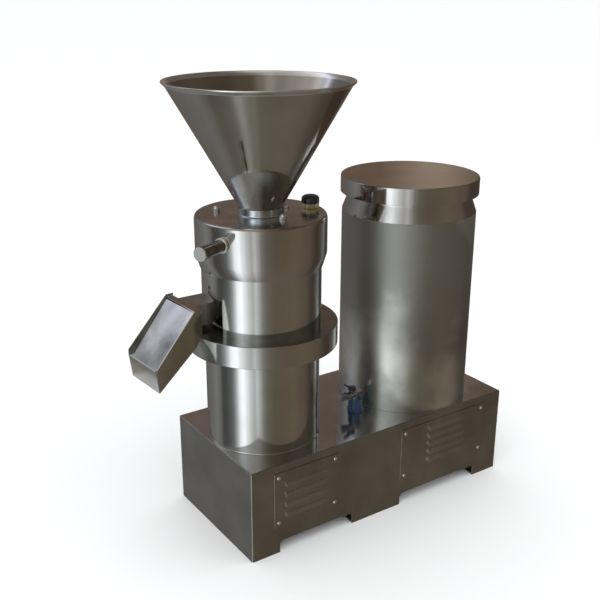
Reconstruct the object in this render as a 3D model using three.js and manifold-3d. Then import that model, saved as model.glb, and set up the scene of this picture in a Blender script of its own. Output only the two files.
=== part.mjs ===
// Vertical split peanut grinder: a hopper feeds a toothed rotor on a belt driven spindle, the paste
// leaves by a sloping chute, and the motor stands beside the head on a common sheet steel base.
// Millimetres, +Z up. X runs along the base, the grinding head at -X and the motor at +X.
import * as THREE from 'three';
import { mergeVertices } from 'three/addons/utils/BufferGeometryUtils.js';
import Module from 'manifold-3d';

const wasm = await Module();
wasm.setup();

// Clearances, how far a cutter runs past a face, and fineness of the rounds
const seatGap = 0.3;
const bearingGap = 0.1;
const runningGap = 0.9;
const throatClearance = 2;
const past = 1;
const roundLarge = 40;
const roundMedium = 28;
const roundSmall = 16;
const roundScrew = 8;
const hexSides = 6;

// Base
const baseLength = 680;
const baseWidth = 305;
const baseHeight = 202;
const baseSheet = 3;
const footClearHeight = 27;
const notchBevel = 7;
const leftFootLength = 66;
const middleFootShift = -23;
const middleFootLength = 132;
const rightFootLength = 72;
const footReturn = 25;
const mountingPlateThickness = 12;
const mountingPlateMargin = 16;
const headMargin = 6.3;
const motorMargin = 27;

// Louvred front panels
const panelSheet = 1.5;
const panelBottom = 61;
const panelTopInset = 17;
const windowMargin = 16;
const leftPanelInset = 53;
const leftPanelLength = 160;
const leftLouvreCount = 4;
const leftLouvrePitch = 23.3;
const leftLouvreLength = 102;
const leftLouvreShift = -4;
const leftLouvreRise = -1;
const rightPanelInset = 50;
const rightPanelLength = 248;
const rightLouvreCount = 5;
const rightLouvrePitch = 19.5;
const rightLouvreLength = 106;
const rightLouvreShift = 6;
const rightLouvreRise = 8;
const louvreDepth = 6;
const louvreBend = 4.5;
const louvreHeight = 11;
const louvreSlot = 4;
const louvreSheet = 2;
const louvreCheek = 3;
const screwInset = 10.5;
const screwHeadRadius = 5;
const screwHeadHeight = 3;
const screwShankRadius = 2.4;
const screwShankLength = 9;

// Grinding head, fixed pieces
const housingRadius = 117.7;
const housingHeight = 204;
const housingWall = 8;
const housingWeb = 26;
const bearingTubeWall = 14;
const bearingOuterRadius = 50;
const bearingWidth = 25;
const bearingShoulder = 6;
const flangeOverhang = 37;
const flangeThickness = 45;
const flangeWeb = 16;
const flangeRib = 10;
const flangeHubRadius = 60;
const sealWidth = 10;
const sealOuterRadius = 36;
const sealShoulder = 6;
const chamberStep = 3;
const chamberWall = 13;
const chamberHeight = 181;
const chamberFloor = 12;
const chamberFloorHole = 66;
const outletWidth = 60;
const outletHeight = 44;
const outletSheet = 3;
const outletRise = 10;
const outletOffset = 42;

// Discharge chute
const chuteTurn = 4;
const chuteWidth = 106;
const chuteOffset = 38.8;
const chuteSheet = 2.5;
const chuteRearInset = 2.7;
const chuteKneeReach = 11.5;
const chuteElbowReach = 13.3;
const chuteRun = 89.7;
const chuteMouthLean = 6.3;
const chuteTopMargin = 4.4;
const chuteMouthDrop = 103.1;
const chuteMouthHeight = 45.1;
const chuteRearRise = 5;
const chuteKneeDrop = 16;
const chuteLipAtMouth = 13;
const chuteLipAtElbow = 5;
const outletEntry = 10;

// Grinding head, adjusting drum and cover
const drumWall = 9.7;
const drumFootWall = 1.2;
const drumHeight = 103.5;
const drumOverlap = 61;
const drumBevelHeight = 27;
const drumRim = 5.3;
const drumTopBevel = 4.5;
const drumLedge = 10.5;
const drumLedgeReach = 18;
const coverThickness = 10;
const collarWall = 7.1;
const collarHeight = 14;
const handleRadius = 12.5;
const handleEndRadius = 14;
const handleLength = 70;
const handleAngle = -155;
const handleDrop = 34.5;
const handleCollarRadius = 15;
const handleCollarLength = 6;
const handleEndBevel = 1.5;
const handleStudRadius = 6;
const handleStudLength = 8;
const coverNutRadius = 7;
const coverNutHeight = 6;
const coverNutDomeRadius = 5.4;
const coverNutDome = 5;
const coverNuts = [
  { name: 'cover_nut_left', reach: 88.9, angle: 139.4 },
  { name: 'cover_nut_front', reach: 69, angle: -83.8 },
  { name: 'cover_nut_right', reach: 60, angle: 2 },
];
const fillerMargin = 2;
const fillerAngle = -11;
const fillerHexRadius = 18;
const fillerHexHeight = 10;
const fillerNeckRadius = 14.5;
const fillerNeckHeight = 5;
const fillerBoreRadius = 9;
const fillerBoreDepth = 8;
const fillerCapWall = 3;
const fillerCapSkirt = 8;
const fillerCapDome = 8;
const fillerCapCrownRadius = 11;

// Stator carrier, stator, rotor and spindle
const carrierHeight = 92;
const carrierWall = 9;
const carrierWeb = 12;
const throatWall = 4;
const statorShelf = 16.8;
const statorHeight = 48;
const statorWall = 26.8;
const grindGap = 1.2;
const rotorTaper = 16;
const rotorHubWall = 12;
const vaneFloorGap = 4;
const vaneTopGap = 5;
const vaneWallGap = 11.7;
const vaneWidth = 8;
const vaneCount = 4;
const slotCount = 12;
const slotWidth = 5;
const slotDepth = 4;
const spindleRadius = 22.5;
const spindleNoseRadius = 17.5;
const spindleTailRadius = 19;
const spindleNoseLength = 18;
const spindleTailEnd = 14;
const augerBaseRadius = 28;
const augerTipRadius = 9;
const augerHeight = 46;
const augerBladeWidth = 5;
const augerBladeGap = 7;

// Hopper
const hopperNeckRadius = 38;
const hopperNeckLength = 39;
const hopperSheet = 2;
const hopperSeatInset = 2.3;
const hopperConeSpread = 132;
const hopperConeHeight = 230;
const hopperRimFlare = 7.6;
const hopperRimHeight = 7;
const hopperRimEdge = 3;

// Motor
const motorFlangeRadius = 125;
const motorFlangeThickness = 14;
const motorSpigotRadius = 90;
const motorSpigotDepth = 4;
const motorBoltInset = 17.5;
const motorBoltRadius = 5.8;
const motorBoltHeadRadius = 10;
const motorBoltHeadHeight = 8;
const motorBoltEnd = 4;
const motorBoltCount = 4;
const motorShieldHeight = 26;
const motorShieldWall = 8;
const motorShieldGap = 3.5;
const motorBearingBoss = 10;
const motorFrameHeight = 230;
const motorFrameBore = 92;
const motorFrameWall = 8;
const motorFinCount = 24;
const motorFinHeight = 10;
const motorFinWidth = 5;
const motorUpperShieldSheet = 10;
const motorUpperBossHeight = 12;
const motorAirGap = 1.2;
const statorCoreWall = 36.7;
const statorCoreHeight = 130;
const statorCoreRise = 50;
const windingWall = 24;
const windingHeight = 30;
const rotorCoreMargin = 18;
const motorTailRadius = 14;
const motorJournalRadius = 20;
const motorUpperJournalRadius = 15;
const motorLowerBearingRadius = 40;
const motorUpperBearingRadius = 31;
const motorBearingWidth = 18;
const motorBearingShoulder = 4;
const motorShaftEnd = 9;
const fanGap = 4;
const fanHubRadius = 22;
const fanHubHeight = 26;
const fanBladeReach = 88;
const fanBladeHeight = 22;
const fanBladeWidth = 3;
const fanBladeRoot = 2;
const fanBladeCount = 6;
const cowlGap = 6;
const cowlHeight = 62;
const cowlSheet = 2;
const cowlVentRadius = 50;

// Motor cover and its cap
const motorCoverClearance = 19.5;
const motorCoverSheet = 2.5;
const motorCoverHeight = 429;
const shoulderInset = 12;
const shoulderHeight = 32;
const capSeatInset = 14;
const capSeatRise = 8;
const capNeckHeight = 33.8;
const capOverhang = 3.5;
const capSkirt = 34;
const capSheet = 2.5;
const capEdgeBevel = 3;
const capSpigotGap = 0.9;
const capSpigotDepth = 6;

// Belt drive
const motorPulleyRadius = 74;
const spindlePulleyRadius = 64;
const pulleyWidth = 48;
const pulleyDrop = 24;
const beltCount = 2;
const beltPitch = 20;
const beltWidth = 17;
const beltDepth = 11;
const beltTaper = 3.4;
const beltFlankGap = 0.4;
const beltFloorGap = 0.9;
const beltSteps = 16;

// Cooling water valve and cable gland
const valveRoomShare = 0.15;
const valveY = -42;
const valveUnionShift = 13;
const valveUnionRadius = 15;
const valveUnionHeight = 29;
const valveFootRadius = 18;
const valveFootHeight = 6;
const valveLength = 52;
const valveRadius = 8;
const valveHexRadius = 10;
const valveHexLength = 13;
const valveAxisRise = 40;
const valveNeckRadius = 7;
const valveNeckDepth = 5;
const valveStemShift = 5;
const valveStemRadius = 4.5;
const valveStemHeight = 3;
const valveHubRadius = 9;
const valveHubHeight = 7;
const valveLeverReach = 18;
const valveLeverWidth = 12;
const valveLeverTip = 4;
const valveLeverRise = 13;
const glandInset = 78;
const glandZ = 70;
const glandHexRadius = 14;
const glandHexLength = 8;
const glandDomeRadius = 11;
const glandDomeLength = 10;
const glandDomeBevel = 3;
const glandThreadRadius = 9.5;
const glandBoreRadius = 6;
const glandInside = 8;

// Axes and levels that follow from the sizes
const motorCoverRadius = motorFlangeRadius + motorCoverClearance + motorCoverSheet;
const baseLeft = -baseLength / 2;
const baseRight = baseLength / 2;
const frontY = -baseWidth / 2;
const headX = baseLeft + headMargin + housingRadius;
const motorX = baseRight - motorMargin - motorCoverRadius;
const deckZ = baseHeight;
const plateTopZ = deckZ - baseSheet;
const plateBottomZ = plateTopZ - mountingPlateThickness;
const housingTopZ = deckZ + housingHeight;
const flangeTopZ = housingTopZ + flangeThickness;
const chamberTopZ = flangeTopZ + chamberHeight;
const drumBottomZ = chamberTopZ - drumOverlap;
const drumTopZ = drumBottomZ + drumHeight;
const coverBottomZ = drumTopZ - coverThickness;
const ledgeBottomZ = coverBottomZ - drumLedge;
const collarTopZ = drumTopZ + collarHeight;
const carrierTopZ = ledgeBottomZ - seatGap;
const carrierBottomZ = carrierTopZ - carrierHeight;
const statorTopZ = carrierBottomZ - seatGap;
const statorBottomZ = statorTopZ - statorHeight;
const rotorBottomZ = flangeTopZ + chamberFloor + vaneFloorGap;
const pulleyTopZ = plateBottomZ - pulleyDrop;
const pulleyBottomZ = pulleyTopZ - pulleyWidth;

// Radii that follow from the sizes
const flangeRadius = housingRadius + flangeOverhang;
const chamberRadius = housingRadius + chamberStep;
const chamberBore = chamberRadius - chamberWall;
const drumRadius = chamberRadius + runningGap + drumWall;
const coverSeatRadius = drumRadius - drumRim;
const throatBore = hopperNeckRadius + runningGap;
const collarRadius = throatBore + collarWall;
const carrierRadius = chamberBore - runningGap;
const carrierThroat = hopperNeckRadius + throatClearance;
const statorRadius = carrierRadius - statorShelf;
const statorLowerBore = statorRadius - statorWall;
const statorUpperBore = statorLowerBore - rotorTaper;
const rotorBaseRadius = statorLowerBore - grindGap;
const rotorTopRadius = statorUpperBore - grindGap;
const motorFrameRadius = motorFrameBore + motorFrameWall;
const motorBoltCircle = motorFlangeRadius - motorBoltInset;

// Finishes
const finishes = {
  polished: { color: 0xb9bab6, roughness: 0.16, metalness: 1 },
  sheet: { color: 0x86847b, roughness: 0.34, metalness: 1 },
  steel: { color: 0x9a9a98, roughness: 0.38, metalness: 1 },
  cast: { color: 0x7b8286, roughness: 0.55, metalness: 0.4 },
  winding: { color: 0x9a5a2c, roughness: 0.45, metalness: 0.3 },
  brass: { color: 0xc2a04c, roughness: 0.28, metalness: 1 },
  black: { color: 0x17181a, roughness: 0.42, metalness: 0 },
  blue: { color: 0x2b4464, roughness: 0.42, metalness: 0 },
  rubber: { color: 0x1c1b1a, roughness: 0.8, metalness: 0 },
};

function radians(degrees) {
  return degrees * Math.PI / 180;
}

// How much larger the corners of a many sided round are than the circle it has to clear
function chordFactor(sides) {
  return 1 / Math.cos(Math.PI / sides);
}

// A closed solid from a geometry: shared corners are merged and slivers at a pole are dropped
function solid(geometry) {
  geometry.deleteAttribute('normal');
  geometry.deleteAttribute('uv');
  const merged = mergeVertices(geometry, 1e-4);
  const corners = merged.index.array;
  const kept = [];
  for (let i = 0; i < corners.length; i += 3) {
    const [a, b, c] = corners.slice(i, i + 3);
    if (a !== b && b !== c && a !== c) kept.push(a, b, c);
  }
  return new wasm.Manifold(new wasm.Mesh({
    numProp: 3,
    vertProperties: new Float32Array(merged.attributes.position.array),
    triVerts: new Uint32Array(kept),
  }));
}

function geometryOf(shape) {
  const mesh = shape.getMesh();
  const geometry = new THREE.BufferGeometry();
  geometry.setAttribute('position', new THREE.BufferAttribute(new Float32Array(mesh.vertProperties), 3));
  geometry.setIndex(new THREE.BufferAttribute(new Uint32Array(mesh.triVerts), 1));
  geometry.computeVertexNormals();
  return geometry;
}

// A lathe closes on the axis, or on its own first point when it starts away from the axis
function latheOf(profile, sides) {
  const points = profile.map(([radius, height]) => new THREE.Vector2(radius, height));
  if (profile[0][0] > 0) points.push(points[0].clone());
  return new THREE.LatheGeometry(points, sides);
}

// A round about an upright axis, from a profile of [radius, height] points
function turned(x, y, profile, sides) {
  const geometry = latheOf(profile, sides);
  geometry.rotateX(Math.PI / 2);
  geometry.translate(x, y, 0);
  return solid(geometry);
}

// A round about a level axis that leaves [x, y, z] at an angle, from [radius, reach] points
function levelRound([x, y, z], angle, profile, sides) {
  const geometry = latheOf(profile, sides);
  geometry.rotateZ(radians(angle - 90));
  geometry.translate(x, y, z);
  return solid(geometry);
}

function rodProfile(radius, low, high) {
  return [[0, low], [radius, low], [radius, high], [0, high]];
}

function rod(x, y, radius, z0, z1, sides) {
  return turned(x, y, rodProfile(radius, z0, z1), sides);
}

function tube(x, y, inner, outer, z0, z1, sides) {
  return turned(x, y, [[inner, z0], [outer, z0], [outer, z1], [inner, z1]], sides);
}

function block(x0, x1, y0, y1, z0, z1) {
  const geometry = new THREE.BoxGeometry(x1 - x0, y1 - y0, z1 - z0);
  geometry.translate((x0 + x1) / 2, (y0 + y1) / 2, (z0 + z1) / 2);
  return solid(geometry);
}

function outlined(points) {
  return new THREE.Shape(points.map(([a, b]) => new THREE.Vector2(a, b)));
}

// An outline in the X-Z plane, drawn out along Y
function slab(points, y0, y1) {
  const geometry = new THREE.ExtrudeGeometry(outlined(points), { depth: y1 - y0, bevelEnabled: false });
  geometry.rotateX(Math.PI / 2);
  geometry.translate(0, y1, 0);
  return solid(geometry);
}

// An outline in the X-Y plane, drawn out along Z
function prism(points, z0, z1) {
  const geometry = new THREE.ExtrudeGeometry(outlined(points), { depth: z1 - z0, bevelEnabled: false });
  geometry.translate(0, 0, z0);
  return solid(geometry);
}

function hexagon(x, y, radius) {
  const points = [];
  for (let i = 0; i < hexSides; i += 1) {
    const angle = radians(360 * i / hexSides);
    points.push([x + radius * Math.cos(angle), y + radius * Math.sin(angle)]);
  }
  return points;
}

function turnedAbout(shape, x, degrees) {
  return shape.rotate([0, 0, degrees]).translate([x, 0, 0]);
}

const machine = new THREE.Group();

function piece(name, shape, finish) {
  const mesh = new THREE.Mesh(geometryOf(shape), new THREE.MeshStandardMaterial(finishes[finish]));
  mesh.name = name;
  machine.add(mesh);
}

// Base: a folded sheet box, open underneath, standing on feet with inward returns
const panelTop = deckZ - panelTopInset;
const panelFaceY = frontY - panelSheet;
const panels = [
  {
    name: 'front_panel_left',
    x0: baseLeft + leftPanelInset,
    x1: baseLeft + leftPanelInset + leftPanelLength,
    count: leftLouvreCount,
    pitch: leftLouvrePitch,
    length: leftLouvreLength,
    shift: leftLouvreShift,
    rise: leftLouvreRise,
  },
  {
    name: 'front_panel_right',
    x0: baseRight - rightPanelInset - rightPanelLength,
    x1: baseRight - rightPanelInset,
    count: rightLouvreCount,
    pitch: rightLouvrePitch,
    length: rightLouvreLength,
    shift: rightLouvreShift,
    rise: rightLouvreRise,
  },
];

function panelScrewPlaces() {
  const places = [];
  for (const { x0, x1 } of panels) {
    for (const x of [x0 + screwInset, x1 - screwInset]) {
      for (const z of [panelBottom + screwInset, panelTop - screwInset]) places.push([x, panelFaceY, z]);
    }
  }
  return places;
}

function motorBoltPlaces() {
  const places = [];
  for (let i = 0; i < motorBoltCount; i += 1) {
    const angle = radians(360 * (i + 0.5) / motorBoltCount);
    places.push([motorX + motorBoltCircle * Math.cos(angle), motorBoltCircle * Math.sin(angle)]);
  }
  return places;
}

function drilledForBolts(shape, z0, z1) {
  let cut = shape;
  for (const [x, y] of motorBoltPlaces()) {
    cut = cut.subtract(rod(x, y, motorBoltRadius + seatGap, z0 - past, z1 + past, roundScrew));
  }
  return cut;
}

function drilledForScrews(shape) {
  const hole = rodProfile(screwShankRadius + seatGap, -past, screwShankLength + past);
  let cut = shape;
  for (const place of panelScrewPlaces()) cut = cut.subtract(levelRound(place, 90, hole, roundScrew));
  return cut;
}

function boredForShafts(shape, z0, z1) {
  const head = rod(headX, 0, bearingOuterRadius - bearingShoulder, z0 - past, z1 + past, roundLarge);
  const motor = rod(motorX, 0, motorSpigotRadius + seatGap, z0 - past, z1 + past, roundLarge);
  return shape.subtract(head).subtract(motor);
}

function notch(x0, x1) {
  const shoulder = footClearHeight - notchBevel;
  const outline = [
    [x0, -past], [x1, -past], [x1, shoulder], [x1 - notchBevel, footClearHeight],
    [x0 + notchBevel, footClearHeight], [x0, shoulder],
  ];
  return slab(outline, -baseWidth, baseWidth);
}

function baseShell() {
  const halfWidth = baseWidth / 2;
  const inner = halfWidth - baseSheet;
  const opening = halfWidth - footReturn;
  let shell = block(baseLeft, baseRight, -halfWidth, halfWidth, 0, deckZ);
  shell = shell.subtract(
    block(baseLeft + baseSheet, baseRight - baseSheet, -inner, inner, baseSheet, plateTopZ),
  );
  shell = shell.subtract(
    block(baseLeft + footReturn, baseRight - footReturn, -opening, opening, -past, baseSheet + past),
  );
  shell = shell.subtract(notch(baseLeft + leftFootLength, middleFootShift - middleFootLength / 2));
  shell = shell.subtract(notch(middleFootShift + middleFootLength / 2, baseRight - rightFootLength));
  for (const { x0, x1 } of panels) {
    const [left, right] = [x0 + windowMargin, x1 - windowMargin];
    const [bottom, top] = [panelBottom + windowMargin, panelTop - windowMargin];
    shell = shell.subtract(block(left, right, frontY - past, frontY + baseSheet + past, bottom, top));
  }
  shell = drilledForScrews(drilledForBolts(boredForShafts(shell, plateTopZ, deckZ), plateTopZ, deckZ));
  const glandHole = rodProfile(glandThreadRadius + seatGap, -past, baseSheet + past);
  return shell.subtract(levelRound([baseRight - glandInset, inner, glandZ], 90, glandHole, roundSmall));
}

function mountingPlate() {
  const margin = baseSheet + mountingPlateMargin;
  const halfWidth = baseWidth / 2 - margin;
  const plate = block(baseLeft + margin, baseRight - margin, -halfWidth, halfWidth, plateBottomZ, plateTopZ);
  return drilledForBolts(boredForShafts(plate, plateBottomZ, plateTopZ), plateBottomZ, plateTopZ);
}

// A pressed louvre: a hood with closed ends, open along its lower edge
function louvreHood(middle, z, length) {
  const section = [
    [-panelSheet / 2, 0], [louvreDepth, 0], [louvreBend, louvreHeight / 2], [0, louvreHeight],
    [-panelSheet / 2, louvreHeight],
  ];
  const geometry = new THREE.ExtrudeGeometry(outlined(section), { depth: length, bevelEnabled: false });
  geometry.rotateX(Math.PI / 2);
  geometry.rotateZ(-Math.PI / 2);
  geometry.translate(middle + length / 2, panelFaceY, z);
  return solid(geometry);
}

function louvredPanel({ x0, x1, count, pitch, length, shift, rise }) {
  const middle = (x0 + x1) / 2 + shift;
  const half = length / 2 - louvreCheek;
  const lipY = panelFaceY - louvreDepth + louvreSheet;
  const slots = [];
  let panel = block(x0, x1, panelFaceY, frontY, panelBottom, panelTop);
  for (let i = 0; i < count; i += 1) {
    const z = (panelBottom + panelTop - louvreHeight) / 2 + rise + (i - (count - 1) / 2) * pitch;
    panel = panel.add(louvreHood(middle, z, length));
    slots.push(block(middle - half, middle + half, lipY, frontY + past, z - past, z + louvreSlot));
  }
  for (const slot of slots) panel = panel.subtract(slot);
  return drilledForScrews(panel);
}

function panelScrew(place) {
  const profile = [
    [0, -screwHeadHeight], [screwHeadRadius, -screwHeadHeight], [screwHeadRadius, 0],
    [screwShankRadius, 0], [screwShankRadius, screwShankLength], [0, screwShankLength],
  ];
  return levelRound(place, 90, profile, roundScrew);
}

function cableGland() {
  const place = [baseRight - glandInset, baseWidth / 2, glandZ];
  const inside = -baseSheet - glandInside;
  const end = glandHexLength + glandDomeLength;
  const dome = [
    [0, past], [glandDomeRadius, past], [glandDomeRadius, end - glandDomeBevel],
    [glandDomeRadius - glandDomeBevel, end], [0, end],
  ];
  const thread = levelRound(place, 90, rodProfile(glandThreadRadius, inside, past), roundSmall);
  const hex = levelRound(place, 90, rodProfile(glandHexRadius, 0, glandHexLength), hexSides);
  const bore = levelRound(place, 90, rodProfile(glandBoreRadius, inside - past, end + past), roundSmall);
  return thread.add(hex).add(levelRound(place, 90, dome, roundSmall)).subtract(bore);
}

function addBase() {
  piece('base_shell', baseShell(), 'sheet');
  piece('mounting_plate', mountingPlate(), 'steel');
  for (const panel of panels) piece(panel.name, louvredPanel(panel), 'sheet');
  panelScrewPlaces().forEach((place, i) => piece(`panel_screw_${i + 1}`, panelScrew(place), 'steel'));
  piece('cable_gland', cableGland(), 'black');
}

// Grinding head: bearing housing, flange and chamber, all fixed
function bearingHousing() {
  const seat = bearingOuterRadius + seatGap;
  const bore = bearingOuterRadius - bearingShoulder;
  const outerTube = seat + bearingTubeWall;
  const inside = housingRadius - housingWall;
  const lowerShoulder = deckZ + bearingWidth + seatGap;
  const upperShoulder = housingTopZ - bearingWidth - seatGap;
  const webZ = housingTopZ - housingWeb;
  const profile = [
    [seat, deckZ], [outerTube, deckZ], [outerTube, webZ], [inside, webZ], [inside, deckZ],
    [housingRadius, deckZ], [housingRadius, housingTopZ], [seat, housingTopZ], [seat, upperShoulder],
    [bore, upperShoulder], [bore, lowerShoulder], [seat, lowerShoulder],
  ];
  return turned(headX, 0, profile, roundLarge);
}

function spindleBearing(z) {
  const bore = (spindleRadius + bearingGap) * chordFactor(roundLarge);
  return tube(headX, 0, bore, bearingOuterRadius, z, z + bearingWidth, roundLarge);
}

function chamberFlange() {
  const webZ = flangeTopZ - flangeWeb;
  const seat = sealOuterRadius + seatGap;
  const bore = sealOuterRadius - sealShoulder;
  const shoulderZ = flangeTopZ - sealWidth - seatGap;
  const rib = housingRadius - flangeRib;
  const profile = [
    [bore, housingTopZ], [flangeHubRadius, housingTopZ], [flangeHubRadius, webZ], [rib, webZ],
    [rib, housingTopZ], [flangeRadius, housingTopZ], [flangeRadius, flangeTopZ], [seat, flangeTopZ],
    [seat, shoulderZ], [bore, shoulderZ],
  ];
  return turned(headX, 0, profile, roundLarge);
}

function shaftSeal() {
  const bore = (spindleRadius + bearingGap) * chordFactor(roundMedium);
  return tube(headX, 0, bore, sealOuterRadius, flangeTopZ - sealWidth, flangeTopZ, roundMedium);
}

// The chute's corners: reach from the head's axis, and height
const chuteRear = flangeRadius - chuteRearInset;
const chuteElbow = flangeRadius + chuteElbowReach;
const chuteMouth = chuteElbow + chuteRun;
const chuteTopZ = flangeTopZ + outletRise + outletHeight + chuteTopMargin;
const chuteMouthTopZ = chuteTopZ - chuteMouthDrop;
const chuteBackY = -(chuteOffset + chuteWidth / 2);
const chuteFrontY = chuteBackY + chuteWidth;
const outletReach = chuteRear + outletEntry;

// The rectangular outlet neck along -X, made smaller by an inset
function outletBlock(inset, reach) {
  const halfWidth = outletWidth / 2 - inset;
  const bottom = flangeTopZ + outletRise + inset;
  const top = flangeTopZ + outletRise + outletHeight - inset;
  return block(headX - reach, headX, outletOffset - halfWidth, outletOffset + halfWidth, bottom, top);
}

function grindingChamber() {
  const floorZ = flangeTopZ + chamberFloor;
  const profile = [
    [chamberFloorHole, flangeTopZ], [chamberRadius, flangeTopZ], [chamberRadius, chamberTopZ],
    [chamberBore, chamberTopZ], [chamberBore, floorZ], [chamberFloorHole, floorZ],
  ];
  const core = rod(headX, 0, (chamberBore + chamberRadius) / 2, flangeTopZ, chamberTopZ, roundLarge);
  const neck = outletBlock(0, outletReach).subtract(core);
  const chamber = turned(headX, 0, profile, roundLarge).add(neck);
  return chamber.subtract(outletBlock(outletSheet, outletReach + past));
}

// A sheet between two corners of the outline, its thickness laid on the left of the way between them
function sheetBetween([x0, z0], [x1, z1]) {
  const scale = chuteSheet / Math.hypot(x1 - x0, z1 - z0);
  const [across, up] = [(z0 - z1) * scale, (x1 - x0) * scale];
  const outline = [[x0, z0], [x1, z1], [x1 + across, z1 + up], [x0 + across, z0 + up]];
  return slab(outline, chuteBackY - chuteSheet / 2, chuteFrontY - chuteSheet / 2);
}

function dischargeChute() {
  const rearTop = [chuteRear, chuteTopZ];
  const rearBottom = [chuteRear, flangeTopZ + chuteRearRise];
  const knee = [flangeRadius + chuteKneeReach, flangeTopZ - chuteKneeDrop];
  const mouthBottom = [chuteMouth - chuteMouthLean, chuteMouthTopZ - chuteMouthHeight];
  const mouthTop = [chuteMouth, chuteMouthTopZ];
  const elbow = [chuteElbow, chuteTopZ];
  const corners = [mouthTop, elbow, rearTop, rearBottom, knee, mouthBottom];
  const lip = [
    mouthTop, [mouthTop[0], mouthTop[1] + chuteLipAtMouth], [elbow[0], elbow[1] + chuteLipAtElbow],
    [rearTop[0], rearTop[1] + chuteLipAtElbow], rearBottom, knee, mouthBottom,
  ];
  let chute = slab(corners, chuteFrontY - chuteSheet, chuteFrontY);
  chute = chute.add(slab(lip, chuteBackY - chuteSheet, chuteBackY));
  for (let i = 0; i < corners.length - 1; i += 1) {
    chute = chute.add(sheetBetween(corners[i], corners[i + 1]));
  }
  return turnedAbout(chute, headX, 180 + chuteTurn).subtract(outletBlock(-seatGap, outletReach + past));
}

function addHead() {
  piece('bearing_housing', bearingHousing(), 'polished');
  piece('lower_bearing', spindleBearing(deckZ), 'steel');
  piece('upper_bearing', spindleBearing(housingTopZ - bearingWidth), 'steel');
  piece('chamber_flange', chamberFlange(), 'polished');
  piece('shaft_seal', shaftSeal(), 'rubber');
  piece('grinding_chamber', grindingChamber(), 'polished');
  piece('discharge_chute', dischargeChute(), 'polished');
}

// Adjusting drum: turns on the chamber with its cover, two handles, cap nuts and the filler
const handlePlace = [headX, 0, drumTopZ - handleDrop];
const fillerReach = coverSeatRadius - fillerHexRadius - fillerMargin;
const fillerX = headX + fillerReach * Math.cos(radians(fillerAngle));
const fillerY = fillerReach * Math.sin(radians(fillerAngle));
const fillerNeckTopZ = drumTopZ + fillerHexHeight + fillerNeckHeight;

function adjustingDrum() {
  const bore = (chamberRadius + runningGap) * chordFactor(roundLarge);
  const ledge = drumRadius - drumWall - drumLedgeReach;
  const profile = [
    [bore, drumBottomZ], [bore + drumFootWall, drumBottomZ], [drumRadius, drumBottomZ + drumBevelHeight],
    [drumRadius, drumTopZ - drumTopBevel], [drumRadius - drumTopBevel, drumTopZ],
    [coverSeatRadius, drumTopZ], [coverSeatRadius, coverBottomZ], [ledge, coverBottomZ],
    [ledge, ledgeBottomZ], [bore, ledgeBottomZ],
  ];
  const socketEnd = drumRadius - handleStudLength - seatGap;
  const socket = rodProfile(handleStudRadius + seatGap, socketEnd, drumRadius + past);
  let drum = turned(headX, 0, profile, roundLarge);
  for (const angle of [handleAngle, handleAngle + 180]) {
    drum = drum.subtract(levelRound(handlePlace, angle, socket, roundSmall));
  }
  return drum;
}

function topCover() {
  const bore = throatBore * chordFactor(roundLarge);
  const profile = [
    [bore, coverBottomZ], [coverSeatRadius - seatGap, coverBottomZ], [coverSeatRadius - seatGap, drumTopZ],
    [collarRadius, drumTopZ], [collarRadius, collarTopZ], [bore, collarTopZ],
  ];
  return turned(headX, 0, profile, roundLarge);
}

function adjustingHandle(angle) {
  const foot = drumRadius + seatGap;
  const stud = drumRadius - handleStudLength;
  const tip = foot + handleLength;
  const profile = [
    [0, stud], [handleStudRadius, stud], [handleStudRadius, foot], [handleCollarRadius, foot],
    [handleCollarRadius, foot + handleCollarLength], [handleRadius, foot + handleCollarLength],
    [handleEndRadius, tip - handleEndBevel], [handleEndRadius - handleEndBevel, tip], [0, tip],
  ];
  return levelRound(handlePlace, angle, profile, roundSmall);
}

function coverNut({ reach, angle }) {
  const x = headX + reach * Math.cos(radians(angle));
  const y = reach * Math.sin(radians(angle));
  const top = drumTopZ + coverNutHeight;
  const dome = [
    [0, drumTopZ + past], [coverNutDomeRadius, drumTopZ + past], [coverNutDomeRadius, top],
    [coverNutDomeRadius / 2, top + coverNutDome], [0, top + coverNutDome],
  ];
  return prism(hexagon(x, y, coverNutRadius), drumTopZ, top).add(turned(x, y, dome, roundScrew));
}

function fillerNeck() {
  const hex = prism(hexagon(fillerX, fillerY, fillerHexRadius), drumTopZ, drumTopZ + fillerHexHeight);
  const neck = rod(fillerX, fillerY, fillerNeckRadius, drumTopZ + past, fillerNeckTopZ, roundSmall);
  const boreZ = fillerNeckTopZ - fillerBoreDepth;
  const bore = rod(fillerX, fillerY, fillerBoreRadius, boreZ, fillerNeckTopZ + past, roundSmall);
  return hex.add(neck).subtract(bore);
}

function fillerCap() {
  const inner = (fillerNeckRadius + seatGap) * chordFactor(roundSmall);
  const outer = inner + fillerCapWall;
  const bottom = drumTopZ + fillerHexHeight + seatGap;
  const shoulder = bottom + fillerCapSkirt;
  const profile = [
    [0, fillerNeckTopZ + seatGap], [inner, fillerNeckTopZ + seatGap], [inner, bottom], [outer, bottom],
    [outer, shoulder], [fillerCapCrownRadius, shoulder + fillerCapDome], [0, shoulder + fillerCapDome],
  ];
  return turned(fillerX, fillerY, profile, roundSmall);
}

function addDrum() {
  piece('adjusting_drum', adjustingDrum(), 'polished');
  piece('top_cover', topCover(), 'polished');
  piece('adjusting_handle_left', adjustingHandle(handleAngle), 'steel');
  piece('adjusting_handle_right', adjustingHandle(handleAngle + 180), 'steel');
  for (const nut of coverNuts) piece(nut.name, coverNut(nut), 'steel');
  piece('filler_neck', fillerNeck(), 'brass');
  piece('filler_cap', fillerCap(), 'black');
}

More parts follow.
